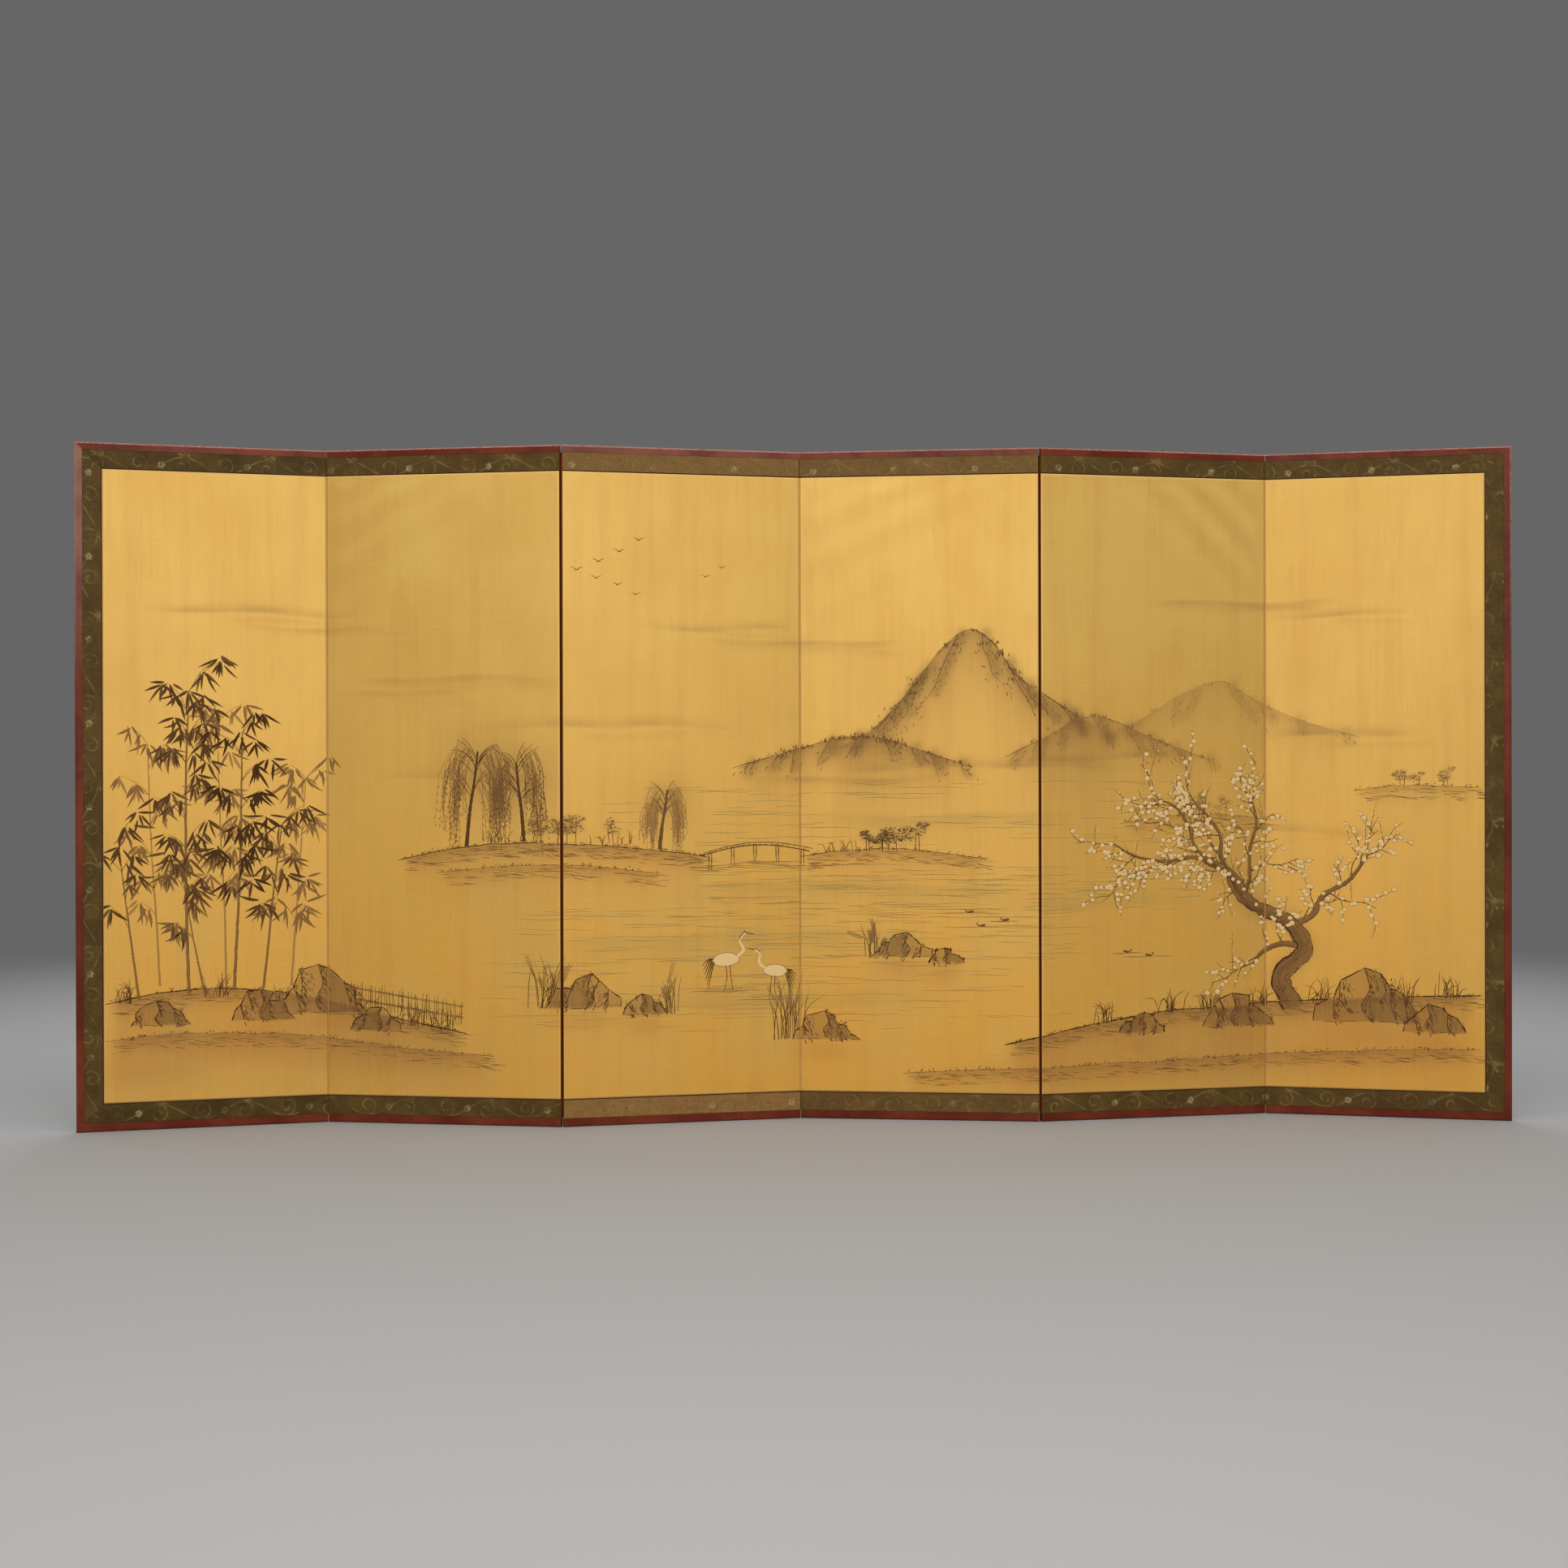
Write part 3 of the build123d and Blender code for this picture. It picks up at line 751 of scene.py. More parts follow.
def plum_twig(at, angle, length, width, depth):
    """An angular twig with buds and blossom, and smaller twigs while depth lasts."""
    points, _ = zigzag(at, angle, length, 3 if depth else 2)
    p = curve(points)
    stroke(p, width * np.linspace(1, 0.45, len(p)), "dark")
    for k in range(2, len(p) - 1, 3):
        r = random()
        if depth and r < 0.44:
            side = choice([-1, 1])
            plum_twig(p[k], angle + side * uniform(0.5, 1.0), length * uniform(0.4, 0.62),
                      width * 0.66, depth - 1)
        elif r < 0.66:
            blossom(p[k] + normal(0, 4 * MM, 2), uniform(5.5, 8.0) * MM)
        elif r < 0.9:
            bud(p[k], angle)
    if depth and random() < 0.6:         # a young shoot, straight up
        foot = p[len(p) // 2]
        tip = foot + turned(math.pi / 2 + normal(0, 0.18), length * uniform(0.5, 0.9))
        line([foot, (foot + tip) / 2 + normal(0, 2 * MM, 2), tip], width * 0.55, "mid", end=0.4)
        for share in (0.35, 0.55, 0.75, 0.95):
            if random() < 0.6:
                bud(foot + (tip - foot) * share, RIGHT_ANGLE)


def bud(at, angle):
    off = turned(angle + choice([-1.3, 1.3]), 4 * MM)
    dab(at + off, uniform(0, 3), 5.0 * MM, 4.0 * MM, "petal")
    dab(at + off * 0.4, uniform(0, 3), 3.4 * MM, 2.6 * MM, "deep")


def blossom(at, size):
    start = uniform(0, TURN)
    ring = np.linspace(0, 2 * math.pi, 31)
    petals = size * (0.80 + 0.20 * np.abs(np.cos(2.5 * ring)) ** 0.6)
    squeeze = uniform(0.72, 1.0)
    out = np.stack([petals * np.cos(ring + start), petals * squeeze * np.sin(ring + start)], 1)
    blob(at, at + out, "petal")
    stroke(at + out * 0.97, 1.1 * MM, "stamen")
    for k in range(6):
        way = turned(start + k * 1.05, size)
        stroke([at, at + way * 0.30, at + way * 0.52], np.array([0.9, 0.7, 1.2]) * MM, "stamen")


def plum(trunk, w0, w1, boughs):
    """A plum tree from its trunk's points, and boughs of (place on trunk, angle, length)."""
    p, w = limb(trunk, w0, w1, 1.6)
    trail(p[::6], 0.030, 0.30, GREY)
    for share, angle, length in boughs:
        k = min(len(p) - 1, int(share * len(p)))
        points, end = zigzag(p[k], angle, length, 4, 0.55)
        width = max(0.45 * w[k], 6 * MM)
        q, _ = limb(points, width, width * 0.4, 0.8)
        for at in q[5::6]:
            side = choice([-1, 1])
            plum_twig(at, angle + side * uniform(0.5, 1.1), uniform(0.06, 0.14), 3.4 * MM, 1)
        plum_twig(q[-1], end, uniform(0.09, 0.14), 3.4 * MM, 1)
    for _ in range(40):                  # moss on the bark
        k = int(rng.integers(2, len(p) - 1))
        dots(p[k] + normal(0, 0.28 * w[k], 2), 4 * MM, 3, 5.0 * MM, "deep")


# ------------------------------------------------------------------ willows and groves
def willow(u, z, height, lean, tone="dark", strand="mid"):
    """A leaning trunk, and limbs whose strands hang down."""
    p = curve([(u + lean * a, z + height * b) for a, b in ((0, 0), (0.3, 0.30), (0.7, 0.55), (1, 0.80))])
    stroke(p, np.linspace(11, 5, len(p)) * MM * (1 + 0.1 * rng.standard_normal(len(p))), tone)
    stroke(p + [-2.0 * MM, 0], np.linspace(3.5, 1.5, len(p)) * MM, "deep")
    for k in range(16):
        start = p[int(rng.integers(len(p) // 2, len(p)))]
        side = -1 if k % 2 else 1
        reach = side * uniform(0.15, 0.44) * height
        top = start + [reach * 0.55, uniform(0.10, 0.24) * height]
        line([start, (start + top) / 2 + [0, 0.03 * height], top], 2.4 * MM, tone, end=0.5)
        for _ in range(6):
            a = start + (top - start) * uniform(0.35, 1.0)
            fall = uniform(0.28, 0.64) * height
            b = a + [side * uniform(0.02, 0.12) * height, -fall * 0.35]
            c = b + [side * uniform(-0.01, 0.05) * height, -fall * 0.65]
            here = strand if random() < 0.6 else PALER[strand]
            line([a, b, c], 1.4 * MM, here, start=0.8, end=0.4)
            for share in np.linspace(0.2, 1, 6):
                dab(b + (c - b) * share, -RIGHT_ANGLE + normal(0, 0.5), 9 * MM, 2.4 * MM, here)
    pool(u + lean, z + height * 0.62, height * 0.42, height * 0.38, 0.30, GREY)


def grove(u, z, wide, high, trees, tones=("mid", "soft"), size=5.5 * MM):
    """Far-off leafy trees in a row."""
    for _ in range(trees):
        x, h = u + wide * (random() - 0.5), high * uniform(0.55, 1.0)
        trunk = [(x, z), (x + normal(0, 2 * MM), z + h * 0.5), (x + normal(0, 4 * MM), z + h * 0.8)]
        line(trunk, 2.6 * MM, tones[0], start=0.9)
        for j in range(3):
            foliage(x + normal(0, 0.20 * h), z + h * (0.48 + 0.20 * j), 0.75 * h * (1 - 0.22 * j), 0.28 * h,
                    13, tones, size)


# ------------------------------------------------------------------ stones, banks and water
BOULDER = np.array([(-0.50, 0.00), (-0.46, 0.30), (-0.33, 0.52), (-0.24, 0.84), (-0.05, 1.00),
                    (0.12, 0.90), (0.20, 0.64), (0.35, 0.54), (0.46, 0.24), (0.53, 0.00)])
CREASE = ((0.05, -0.40), (-0.03, -0.72), (0.04, -1.0))   # down a boulder's face, from its top


def rock(u, z, wide, high, facets):
    """A boulder: an angular outline, facets with axe-cut strokes on their shaded side, and moss."""
    flip = choice([-1, 1])
    shape = BOULDER + normal(0, 0.035, BOULDER.shape) * (BOULDER[:, 1:] > 0)
    corner = shape * [flip * wide, high] + [u, z]
    top = corner[4]
    inner = [top] + [top + [flip * x * wide, y * high] for x, y in CREASE]
    fill(corner, 0.26, GREY)
    fill(corner, 0.28, WARM)
    fill(np.concatenate([corner[4:], inner[::-1]]), 0.42, GREY, 6 * MM)
    for a, b in zip(corner, corner[1:]):
        n = max(4, int(np.linalg.norm(b - a) / (4 * MM)))
        q = np.linspace(a, b, n) + normal(0, 0.5 * MM, (n, 2))
        stroke(q, uniform(3.0, 4.8) * MM * taper(n, 0.7, 0.35, 0.3, 0.15), "deep")
    ridges = [inner]
    for start in corner[[2, 6, 3, 7, 5][:facets - 1]]:
        middle = start + [flip * uniform(-0.04, 0.08) * wide, -0.35 * high]
        end = start + [flip * uniform(-0.05, 0.10) * wide, -uniform(0.5, 0.8) * high]
        ridges.append([start, middle, end])
    for ridge in ridges:
        q = curve(ridge, 4 * MM)
        q = q[q[:, 1] > z]
        if len(q) < 4:
            continue
        stroke(q, 3.0 * MM * taper(len(q), 0.8, 0.2), "dark")
        for at in np.repeat(q[1:], 2, axis=0):
            off = random() ** 1.5
            tone = "dark" if off < 0.25 else "mid" if off < 0.6 else "soft"
            spot = at + [flip * off * 0.13 * wide, normal(0, 3 * MM)]
            dab(spot, -RIGHT_ANGLE + flip * 0.5 + normal(0, 0.25), uniform(6, 14) * MM, 3.0 * MM, tone)
    for _ in range(9):
        k = int(rng.integers(1, 9))
        dots(corner[k], 0.020 * wide, 3, 4.6 * MM, choice(["deep", "dark"]))
    for _ in range(5):                   # where it meets the ground
        a = np.array([u + uniform(-0.5, 0.4) * wide, z + normal(0, 2.5 * MM)])
        line([a, a + [0.08 * wide, normal(0, 1 * MM)], a + [0.16 * wide, 0]], 2.4 * MM, "mid")
    pool(u, z - 0.03, 0.60 * wide, 0.04, 0.26, WARM)
    nearer.append(corner)


def fence(start, end, high):
    """A low brushwood fence."""
    start, end = np.array(start), np.array(end)
    count = int(np.linalg.norm(end - start) / (6.5 * MM))
    for k in range(count):
        foot = start + (end - start) * (k + uniform(-0.3, 0.3)) / count + [0, normal(0, 1.5 * MM)]
        top = foot + [normal(0, 3 * MM), high * uniform(0.85, 1.12)]
        line([foot, top], 2.6 * MM, choice(["mid", "soft", "dark"]), start=0.7, end=0.5)
    for share in (0.32, 0.78):
        for off in (0, 3 * MM):
            up = [0, share * high + off]
            line([start + up, end + up], 2.2 * MM, "dark", start=0.8, end=0.7, jitter=0.2)


def bank(points, tone, width, depth, strength, hatch=1.0):
    """A broken shoreline, washes and dashes on the slope below it, and low growth."""
    p = curve(points, 6 * MM)
    wander(p, 0.4, 1.4 * MM)
    for a in range(0, len(p) - 4, 22):
        q = p[a:a + 26]
        stroke(q, width * taper(len(q), 0.5, 0.35, 0.5, 0.2), tone)
    slope(p, depth, strength, WARM)
    slope(p - [0, 2 * MM], depth * 0.30, strength * 0.9, GREY)
    for _ in range(int(len(p) * hatch)):
        k = int(rng.integers(2, len(p) - 2))
        q = p[k] - [0, uniform(4, 34) * MM]
        dash = [q, q + [uniform(14, 50) * MM, normal(-2, 3) * MM]]
        line(dash, 1.9 * MM, choice(["soft", "pale", "mid"]), 6 * MM)
    for _ in range(int(len(p) * 0.5 * hatch)):   # low growth along the edge
        k = int(rng.integers(2, len(p) - 2))
        dots(p[k] + [0, 2 * MM], 2.5 * MM, 2, 4.2 * MM, choice(["mid", "dark"]))


def grass(u, z, height, count, tone, spread, plume=False):
    """A tuft of blades, or of reeds with plumes."""
    for _ in range(count):
        a = np.array([u + normal(0, spread * 0.3), z + normal(0, 2 * MM)])
        lean = normal(0, 0.26 if plume else 0.45)
        h = height * uniform(0.45, 1.1)
        b = a + turned(RIGHT_ANGLE - lean * 0.5, h * 0.6)
        c = b + turned(RIGHT_ANGLE - lean * 1.9, h * 0.45)
        line([a, b, c], 2.4 * MM, tone, start=0.7, end=0.05)
        if plume and random() < 0.3:
            way = c - b
            for share in np.linspace(0.3, 1.25, 7):
                for side in (-0.5, 0.5):
                    dab(b + way * share, math.atan2(way[1], way[0]) + side, 11 * MM, 2.4 * MM, "soft")


def water(u0, u1, z0, z1, count, tone):
    """Level ripples within a box of the painting."""
    for _ in range(count):
        z = z0 + (z1 - z0) * random() ** 0.8
        half = uniform(0.02, 0.12)
        u = uniform(u0 + half, u1 - half) if u1 - u0 > 2 * half else (u0 + u1) / 2
        along = np.linspace(-half, half, 7)
        wave = uniform(0.4, 1.8) * MM * np.sin(along * uniform(40, 90) + uniform(0, 6))
        line(np.stack([u + along, z + wave], 1), uniform(1.3, 2.6) * MM, tone, 8 * MM, start=0.1)


def mountain(foot, tone, light, width, ribs, grey, warm, trees, points):
    """A peak in broken outline, with ribs that run down from its ridge into mist."""
    p = curve(points, 7 * MM)
    wander(p, 0.5, 1.5 * MM)
    summit = p[np.argmax(p[:, 1])]
    tall = summit[1] - foot
    for a in range(0, len(p) - 4, 18):
        q = p[a:a + 20]
        stroke(q, width * taper(len(q), 0.4, 0.3, 0.5, 0.3), tone)
        if random() < 0.6:
            stroke(q[2:14] - [0, uniform(3, 6) * MM], width * 0.7 * taper(len(q[2:14])), light)
    slope(p, tall * 0.30, grey * 0.8, GREY, 0.10)
    slope(p, tall * 0.45, warm, WARM, 0.10)
    for k in range(ribs):
        at = p[int(len(p) * (k + 0.5 + uniform(-0.3, 0.3)) / ribs)]
        fall = 1 if at[0] > summit[0] - 0.01 else -1
        drop = (at[1] - foot) * uniform(0.5, 0.85)
        rib = [at]
        for _ in range(5):
            rib.append(rib[-1] + [fall * drop / 5 * uniform(0.0, 0.95), -drop / 5])
        q = curve(rib, 7 * MM)
        fading = np.linspace(1.0, 0.25, len(q))
        stroke(q, width * 0.9 * fading * taper(len(q), 0.8, 0.3), tone)
        trail(np.array(rib[:4]) + [0.010, 0], 0.016, grey * 0.9, GREY)
        for j in np.repeat(np.arange(len(q) - 1), 2):
            start = q[j] + [uniform(0, 26) * MM * (1 if random() < 0.8 else -1), normal(0, 4) * MM]
            if random() < 0.75 * fading[j]:
                dab(start, -RIGHT_ANGLE + 0.6 * fall + normal(0, 0.25), uniform(6, 13) * MM, 2.6 * MM,
                    light if random() < 0.6 else tone)
    for _ in range(trees):
        k = int(np.clip(normal(0.5, 0.22), 0.05, 0.95) * (len(p) - 1))
        at = p[k] - [0, random() ** 2 * 0.10 * tall]
        for _ in range(int(rng.integers(3, 7))):
            spot = at + [normal(0, 7) * MM, normal(0, 2) * MM]
            dab(spot, RIGHT_ANGLE + normal(0, 0.3), uniform(6, 11) * MM, 3.4 * MM, tone)
    nearer.append(np.concatenate([p, [[p[-1, 0], foot], [p[0, 0], foot]]]))


# ------------------------------------------------------------------ a footbridge and birds
def bridge(start, end, rise, posts):
    """An arched footbridge on posts that stand in the water."""
    t = np.linspace(0, 1, 40)[:, None]
    deck = np.asarray(start) * (1 - t) + np.asarray(end) * t
    deck[:, 1] += rise * np.sin(np.pi * t[:, 0])
    for off, width, tone in ((0.0, 3.0 * MM, "deep"), (7.0 * MM, 2.2 * MM, "dark")):
        stroke(deck + off, width * (1 + 0.08 * rng.standard_normal(40)), tone)
    for at in deck[1:39:2]:
        line([at, at + 7 * MM], 1.7 * MM, "mid", 4 * MM, start=0.8)
    for at in deck[np.linspace(3, 36, posts).astype(int)]:
        for off in (0, 7 * MM):
            top = at + [off, 3 * MM]
            post = [top, top - [0, 24 * MM], top - [normal(0, 1) * MM, 46 * MM]]
            line(post, 3.0 * MM, "dark", start=0.9, end=0.5)
        line([at - [2 * MM, 20 * MM], at + [9 * MM, -15 * MM]], 1.8 * MM, "mid", 4 * MM)
        water(at[0] - 0.03, at[0] + 0.04, at[1] - 0.052, at[1] - 0.040, 3, "soft")


def goose(u, z, size):
    c = np.array([u, z])
    for side in (-1, 1):
        wing = [c, c + [side * size * 0.45, size * 0.30], c + [side * size, size * 0.42]]
        line(wing, size * 0.15, "mid", 3 * MM, start=0.8)
    line([c - [size * 0.35, size * 0.05], c, c + [size * 0.40, size * 0.05]], size * 0.16, "mid", 3 * MM)


def from_feet(u, z, size, face):
    """Turns places on a bird, as shares of its size, into places on the painting."""
    return lambda x, y: np.array([u + face * x * size, z + y * size])


def duck(u, z, size, face):
    at = from_feet(u, z, size, face)
    line([at(-0.55, 0.10), at(0, 0), at(0.4, 0.02)], 0.30 * size, "mid", 3 * MM, start=0.5)
    line([at(0.36, 0.05), at(0.42, 0.26), at(0.62, 0.24)], 0.14 * size, "deep", 3 * MM, start=0.9)
    water(u - size, u + size, z - 0.22 * size, z - 0.12 * size, 2, "soft")


CRANE = ((-0.26, 0.50), (-0.12, 0.60), (0.08, 0.62), (0.22, 0.55), (0.20, 0.46), (0.04, 0.40),
         (-0.14, 0.41), (-0.26, 0.50))   # the outline of its body


def crane(u, z, size, face, bend=0.0):
    """A wading crane: pale body, dark neck and tail, thin legs."""
    at = from_feet(u, z, size, face)
    body = curve([at(x, y) for x, y in CRANE], 4 * MM)
    blob(at(0, 0.51), body[::-face], "petal")
    stroke(body, 1.5 * MM, "stamen")
    neck = [at(0.18, 0.54), at(0.30, 0.66), at(0.24 + bend, 0.82), at(0.33 + bend, 0.95 - bend)]
    line(neck, 0.050 * size, "petal", 3 * MM, start=1, end=0.8)
    line([q + [0, 0.004] for q in neck[1:]], 0.030 * size, "deep", 3 * MM, start=0.6, end=0.9)
    line([neck[-1], neck[-1] + [face * 0.17 * size, face * -0.03 * size]], 0.020 * size, "deep", 3 * MM)
    for k in range(6):
        a = at(-0.20 + 0.02 * k, 0.53 - 0.015 * k)
        tip = a + [-face * 0.20 * size, -0.12 * size - 0.01 * k]
        line([a, a + [-face * 0.10 * size, -0.02 * size], tip], 0.024 * size, "deep", 3 * MM, end=0.2)
    for x, foot in ((0.00, -0.05), (0.07, 0.10)):
        leg = [at(x, 0.42), at(x + 0.02, 0.22), at(x + foot * 0.5, 0.0)]
        line(leg, 0.016 * size, "deep", start=1, end=0.8)
    for k in range(4):
        a = at(-0.16 + 0.08 * k, 0.56)
        line([a, a + [-face * 0.07 * size, -0.06 * size]], 1.4 * MM, "stamen", 4 * MM)
    water(u - 0.3 * size, u + 0.4 * size, z - 0.004, z + 0.006, 4, "soft")


# ------------------------------------------------------------------ the whole arrangement
def right_shore():
    rock(3.48, 0.222, 0.15, 0.070, 3)
    rock(2.72, 0.222, 0.12, 0.050, 3)
    rock(2.98, 0.232, 0.19, 0.085, 4)
    rock(3.31, 0.245, 0.26, 0.135, 6)
    bank([(2.36, 0.196), (2.56, 0.240), (2.78, 0.274), (2.98, 0.285), (3.20, 0.300), (3.42, 0.312),
          (3.60, 0.318)], "deep", 4.0 * MM, 0.09, 0.52, 1.5)
    bank([(2.10, 0.120), (2.40, 0.138), (2.80, 0.160), (3.20, 0.172), (3.60, 0.180)],
         "soft", 2.8 * MM, 0.05, 0.34)
    plum([(3.13, 0.280), (3.10, 0.36), (3.16, 0.43), (3.12, 0.50), (3.02, 0.55), (2.97, 0.62), (2.89, 0.67)],
         52 * MM, 20 * MM,
         [(0.45, 0.55, 0.26), (0.60, 2.75, 0.24), (0.72, 1.25, 0.24), (0.86, 2.05, 0.20),
          (0.97, 3.00, 0.26), (0.97, 2.35, 0.20), (0.34, 2.9, 0.16)])
    for u, z in ((2.62, 0.25), (2.80, 0.27), (2.90, 0.275), (3.05, 0.28), (3.20, 0.29), (3.40, 0.30),
                 (3.52, 0.31)):
        grass(u, z, 0.065, 16, "dark", 0.05)
    for u, z, wide in ((3.30, 0.16, 0.35), (2.85, 0.14, 0.35), (2.45, 0.12, 0.25)):
        pool(u, z, wide, 0.05, 0.26, WARM)


def left_grove():
    rock(0.74, 0.238, 0.13, 0.060, 3)
    rock(0.20, 0.262, 0.14, 0.060, 3)
    rock(0.45, 0.268, 0.15, 0.080, 4)
    rock(0.60, 0.282, 0.22, 0.125, 5)
    bank([(0.07, 0.318), (0.22, 0.345), (0.40, 0.350), (0.60, 0.318), (0.80, 0.270), (0.98, 0.232)],
         "deep", 4.0 * MM, 0.08, 0.50, 1.5)
    bank([(0.07, 0.225), (0.25, 0.240), (0.50, 0.228), (0.80, 0.196), (1.05, 0.176)],
         "soft", 2.8 * MM, 0.06, 0.36)
    for u, z, height, lean, thick, culm, leaves, lush in (
        (0.20, 0.36, 0.56, 0.05, 6.5, "pale", "soft", 1.0),
        (0.52, 0.34, 0.50, -0.07, 6.5, "pale", "soft", 1.0),
        (0.36, 0.35, 0.62, 0.00, 6.5, "pale", "soft", 0.9),
        (0.27, 0.34, 0.70, 0.03, 9.5, "soft", "dark", 1.1),
        (0.38, 0.345, 0.60, -0.05, 9.0, "soft", "deep", 1.1),
        (0.45, 0.335, 0.40, -0.12, 7.5, "soft", "dark", 1.0),
        (0.15, 0.325, 0.36, 0.12, 7.0, "soft", "dark", 1.0),
        (0.31, 0.330, 0.30, 0.20, 6.0, "soft", "mid", 0.8),
    ):
        bamboo(u, z, height, lean, thick * MM, culm, leaves, lush)
    fence((0.66, 0.300), (0.97, 0.252), 0.060)
    for u, z in ((0.12, 0.32), (0.34, 0.33), (0.50, 0.30), (0.70, 0.27), (0.84, 0.25), (0.92, 0.24)):
        grass(u, z, 0.060, 16, "dark", 0.05)
    for u, z, wide in ((0.35, 0.20, 0.35), (0.75, 0.16, 0.30), (0.15, 0.14, 0.20)):
        pool(u, z, wide, 0.05, 0.26, WARM)


def shallows():
    rock(1.43, 0.280, 0.11, 0.050, 3)
    rock(1.28, 0.300, 0.18, 0.085, 4)
    rock(2.21, 0.404, 0.09, 0.038, 2)
    rock(2.10, 0.420, 0.15, 0.060, 3)
    rock(1.90, 0.205, 0.17, 0.070, 4)
    grass(1.19, 0.300, 0.13, 22, "dark", 0.06, True)
    grass(1.50, 0.280, 0.10, 16, "mid", 0.05, True)
    grass(2.02, 0.416, 0.09, 14, "mid", 0.05, True)
    grass(1.80, 0.205, 0.16, 24, "dark", 0.07, True)
    crane(1.64, 0.335, 0.155, 1)
    crane(1.77, 0.312, 0.140, -1, 0.05)
    for u, z, face in ((2.30, 0.500, -1), (2.36, 0.515, -1), (2.27, 0.535, -1), (2.68, 0.430, 1),
                       (2.74, 0.420, 1)):
        duck(u, z, 22 * MM, face)


def middle_ground():
    # a low point with willows, panels 2 and 3, and a footbridge from it
    bank([(0.80, 0.672), (0.96, 0.706), (1.14, 0.722), (1.34, 0.712), (1.52, 0.690), (1.60, 0.676)],
         "dark", 3.4 * MM, 0.05, 0.44, 1.6)
    bank([(0.90, 0.640), (1.05, 0.652), (1.30, 0.650), (1.48, 0.636)], "soft", 2.6 * MM, 0.04, 0.30)
    grove(1.30, 0.716, 0.30, 0.085, 7)
    willow(0.98, 0.708, 0.30, 0.03)
    willow(1.13, 0.720, 0.25, -0.02)
    willow(1.47, 0.698, 0.19, 0.02, "mid", "soft")
    grass(1.06, 0.718, 0.035, 16, "dark", 0.10)
    grass(1.36, 0.712, 0.035, 18, "mid", 0.16)
    bridge((1.575, 0.680), (1.86, 0.690), 0.022, 5)
    bank([(1.84, 0.676), (1.93, 0.690), (2.06, 0.694), (2.20, 0.684), (2.32, 0.670)],
         "mid", 3.0 * MM, 0.04, 0.36, 1.3)
    grove(2.06, 0.690, 0.26, 0.080, 8, ("dark", "mid"))
    grass(1.95, 0.690, 0.035, 12, "mid", 0.10)
    # low islands far off, panels 5 and 6
    bank([(2.66, 0.760), (2.80, 0.776), (2.94, 0.780), (3.08, 0.766)], "soft", 2.4 * MM, 0.04, 0.28)
    grove(2.86, 0.777, 0.22, 0.060, 7, ("soft", "pale"), 5 * MM)
    bank([(3.28, 0.842), (3.40, 0.858), (3.52, 0.856), (3.60, 0.848)], "soft", 2.4 * MM, 0.04, 0.26)
    grove(3.46, 0.856, 0.16, 0.050, 5, ("soft", "pale"), 5 * MM)
    # the stream
    for u0, u1, z0, z1, count, tone in (
        (1.30, 2.90, 0.70, 0.87, 70, "stream"), (1.55, 2.90, 0.52, 0.66, 90, "stream"),
        (1.10, 2.60, 0.40, 0.56, 90, "stream"), (1.00, 2.40, 0.22, 0.42, 80, "stream"),
        (1.55, 2.60, 0.26, 0.66, 60, "pale"),
    ):
        water(u0, u1, z0, z1, count, tone)
    for u, z, length, thick in ((2.00, 0.60, 1.1, 0.030), (1.70, 0.47, 1.3, 0.035), (2.20, 0.78, 0.9, 0.024),
                                (1.75, 0.30, 1.1, 0.030), (2.60, 0.55, 0.6, 0.024)):
        mist(u, z, length, thick, 0.26, GREEN)


def sky_and_peaks():
    for u, z, length, thick, strength in (
        (0.42, 1.300, 0.62, 0.012, 0.26), (0.60, 1.268, 0.44, 0.009, 0.20),
        (1.62, 1.265, 0.50, 0.010, 0.22), (1.86, 1.232, 0.60, 0.012, 0.26),
        (2.98, 1.335, 0.62, 0.012, 0.28), (3.24, 1.300, 0.40, 0.009, 0.22),
        (0.95, 1.130, 0.66, 0.013, 0.22), (0.80, 1.095, 0.40, 0.010, 0.18),
        (1.35, 1.010, 0.75, 0.015, 0.22), (3.25, 0.985, 0.50, 0.014, 0.24),
        (1.00, 0.880, 0.60, 0.014, 0.18), (3.18, 0.735, 0.60, 0.012, 0.18),
    ):
        mist(u, z, length, thick, strength)
        mist(u + 0.1, z - 0.022, length * 0.7, thick * 0.8, strength * 0.5, WARM)
    # peaks over panels 3 to 6, the nearest first
    mountain(0.86, "mid", "soft", 3.0 * MM, 9, 0.40, 0.34, 34,
             [(1.66, 0.905), (1.78, 0.94), (1.90, 0.975), (2.02, 0.985), (2.14, 0.95), (2.28, 0.905)])
    mountain(0.88, "soft", "pale", 2.8 * MM, 8, 0.30, 0.24, 16,
             [(2.36, 0.93), (2.46, 0.98), (2.56, 1.03), (2.64, 1.02), (2.76, 0.97), (2.92, 0.92)])
    mountain(0.92, "mid", "soft", 3.2 * MM, 12, 0.40, 0.26, 26,
             [(1.90, 0.95), (2.02, 1.00), (2.12, 1.10), (2.20, 1.20), (2.27, 1.25), (2.33, 1.22),
              (2.40, 1.13), (2.52, 1.05), (2.66, 0.98)])
    mountain(0.94, "pale", "pale", 2.6 * MM, 8, 0.20, 0.16, 6,
             [(2.56, 0.97), (2.70, 1.02), (2.82, 1.09), (2.93, 1.13), (3.02, 1.09), (3.14, 1.03),
              (3.30, 0.98)])
    for u, z, length, thick in ((2.30, 0.905, 0.90, 0.014), (2.62, 0.930, 0.60, 0.012),
                                (1.95, 0.880, 0.60, 0.012)):
        mist(u, z, length, thick, 0.26)
    for k, (u, z) in enumerate(((0, 0), (0.055, 0.022), (0.108, 0.048), (0.158, 0.078), (0.050, -0.020),
                                (0.104, -0.036), (0.150, -0.060), (0.330, -0.012), (0.372, 0.012))):
        goose(1.26 + u, 1.405 + z, (17 - 0.6 * k) * MM)


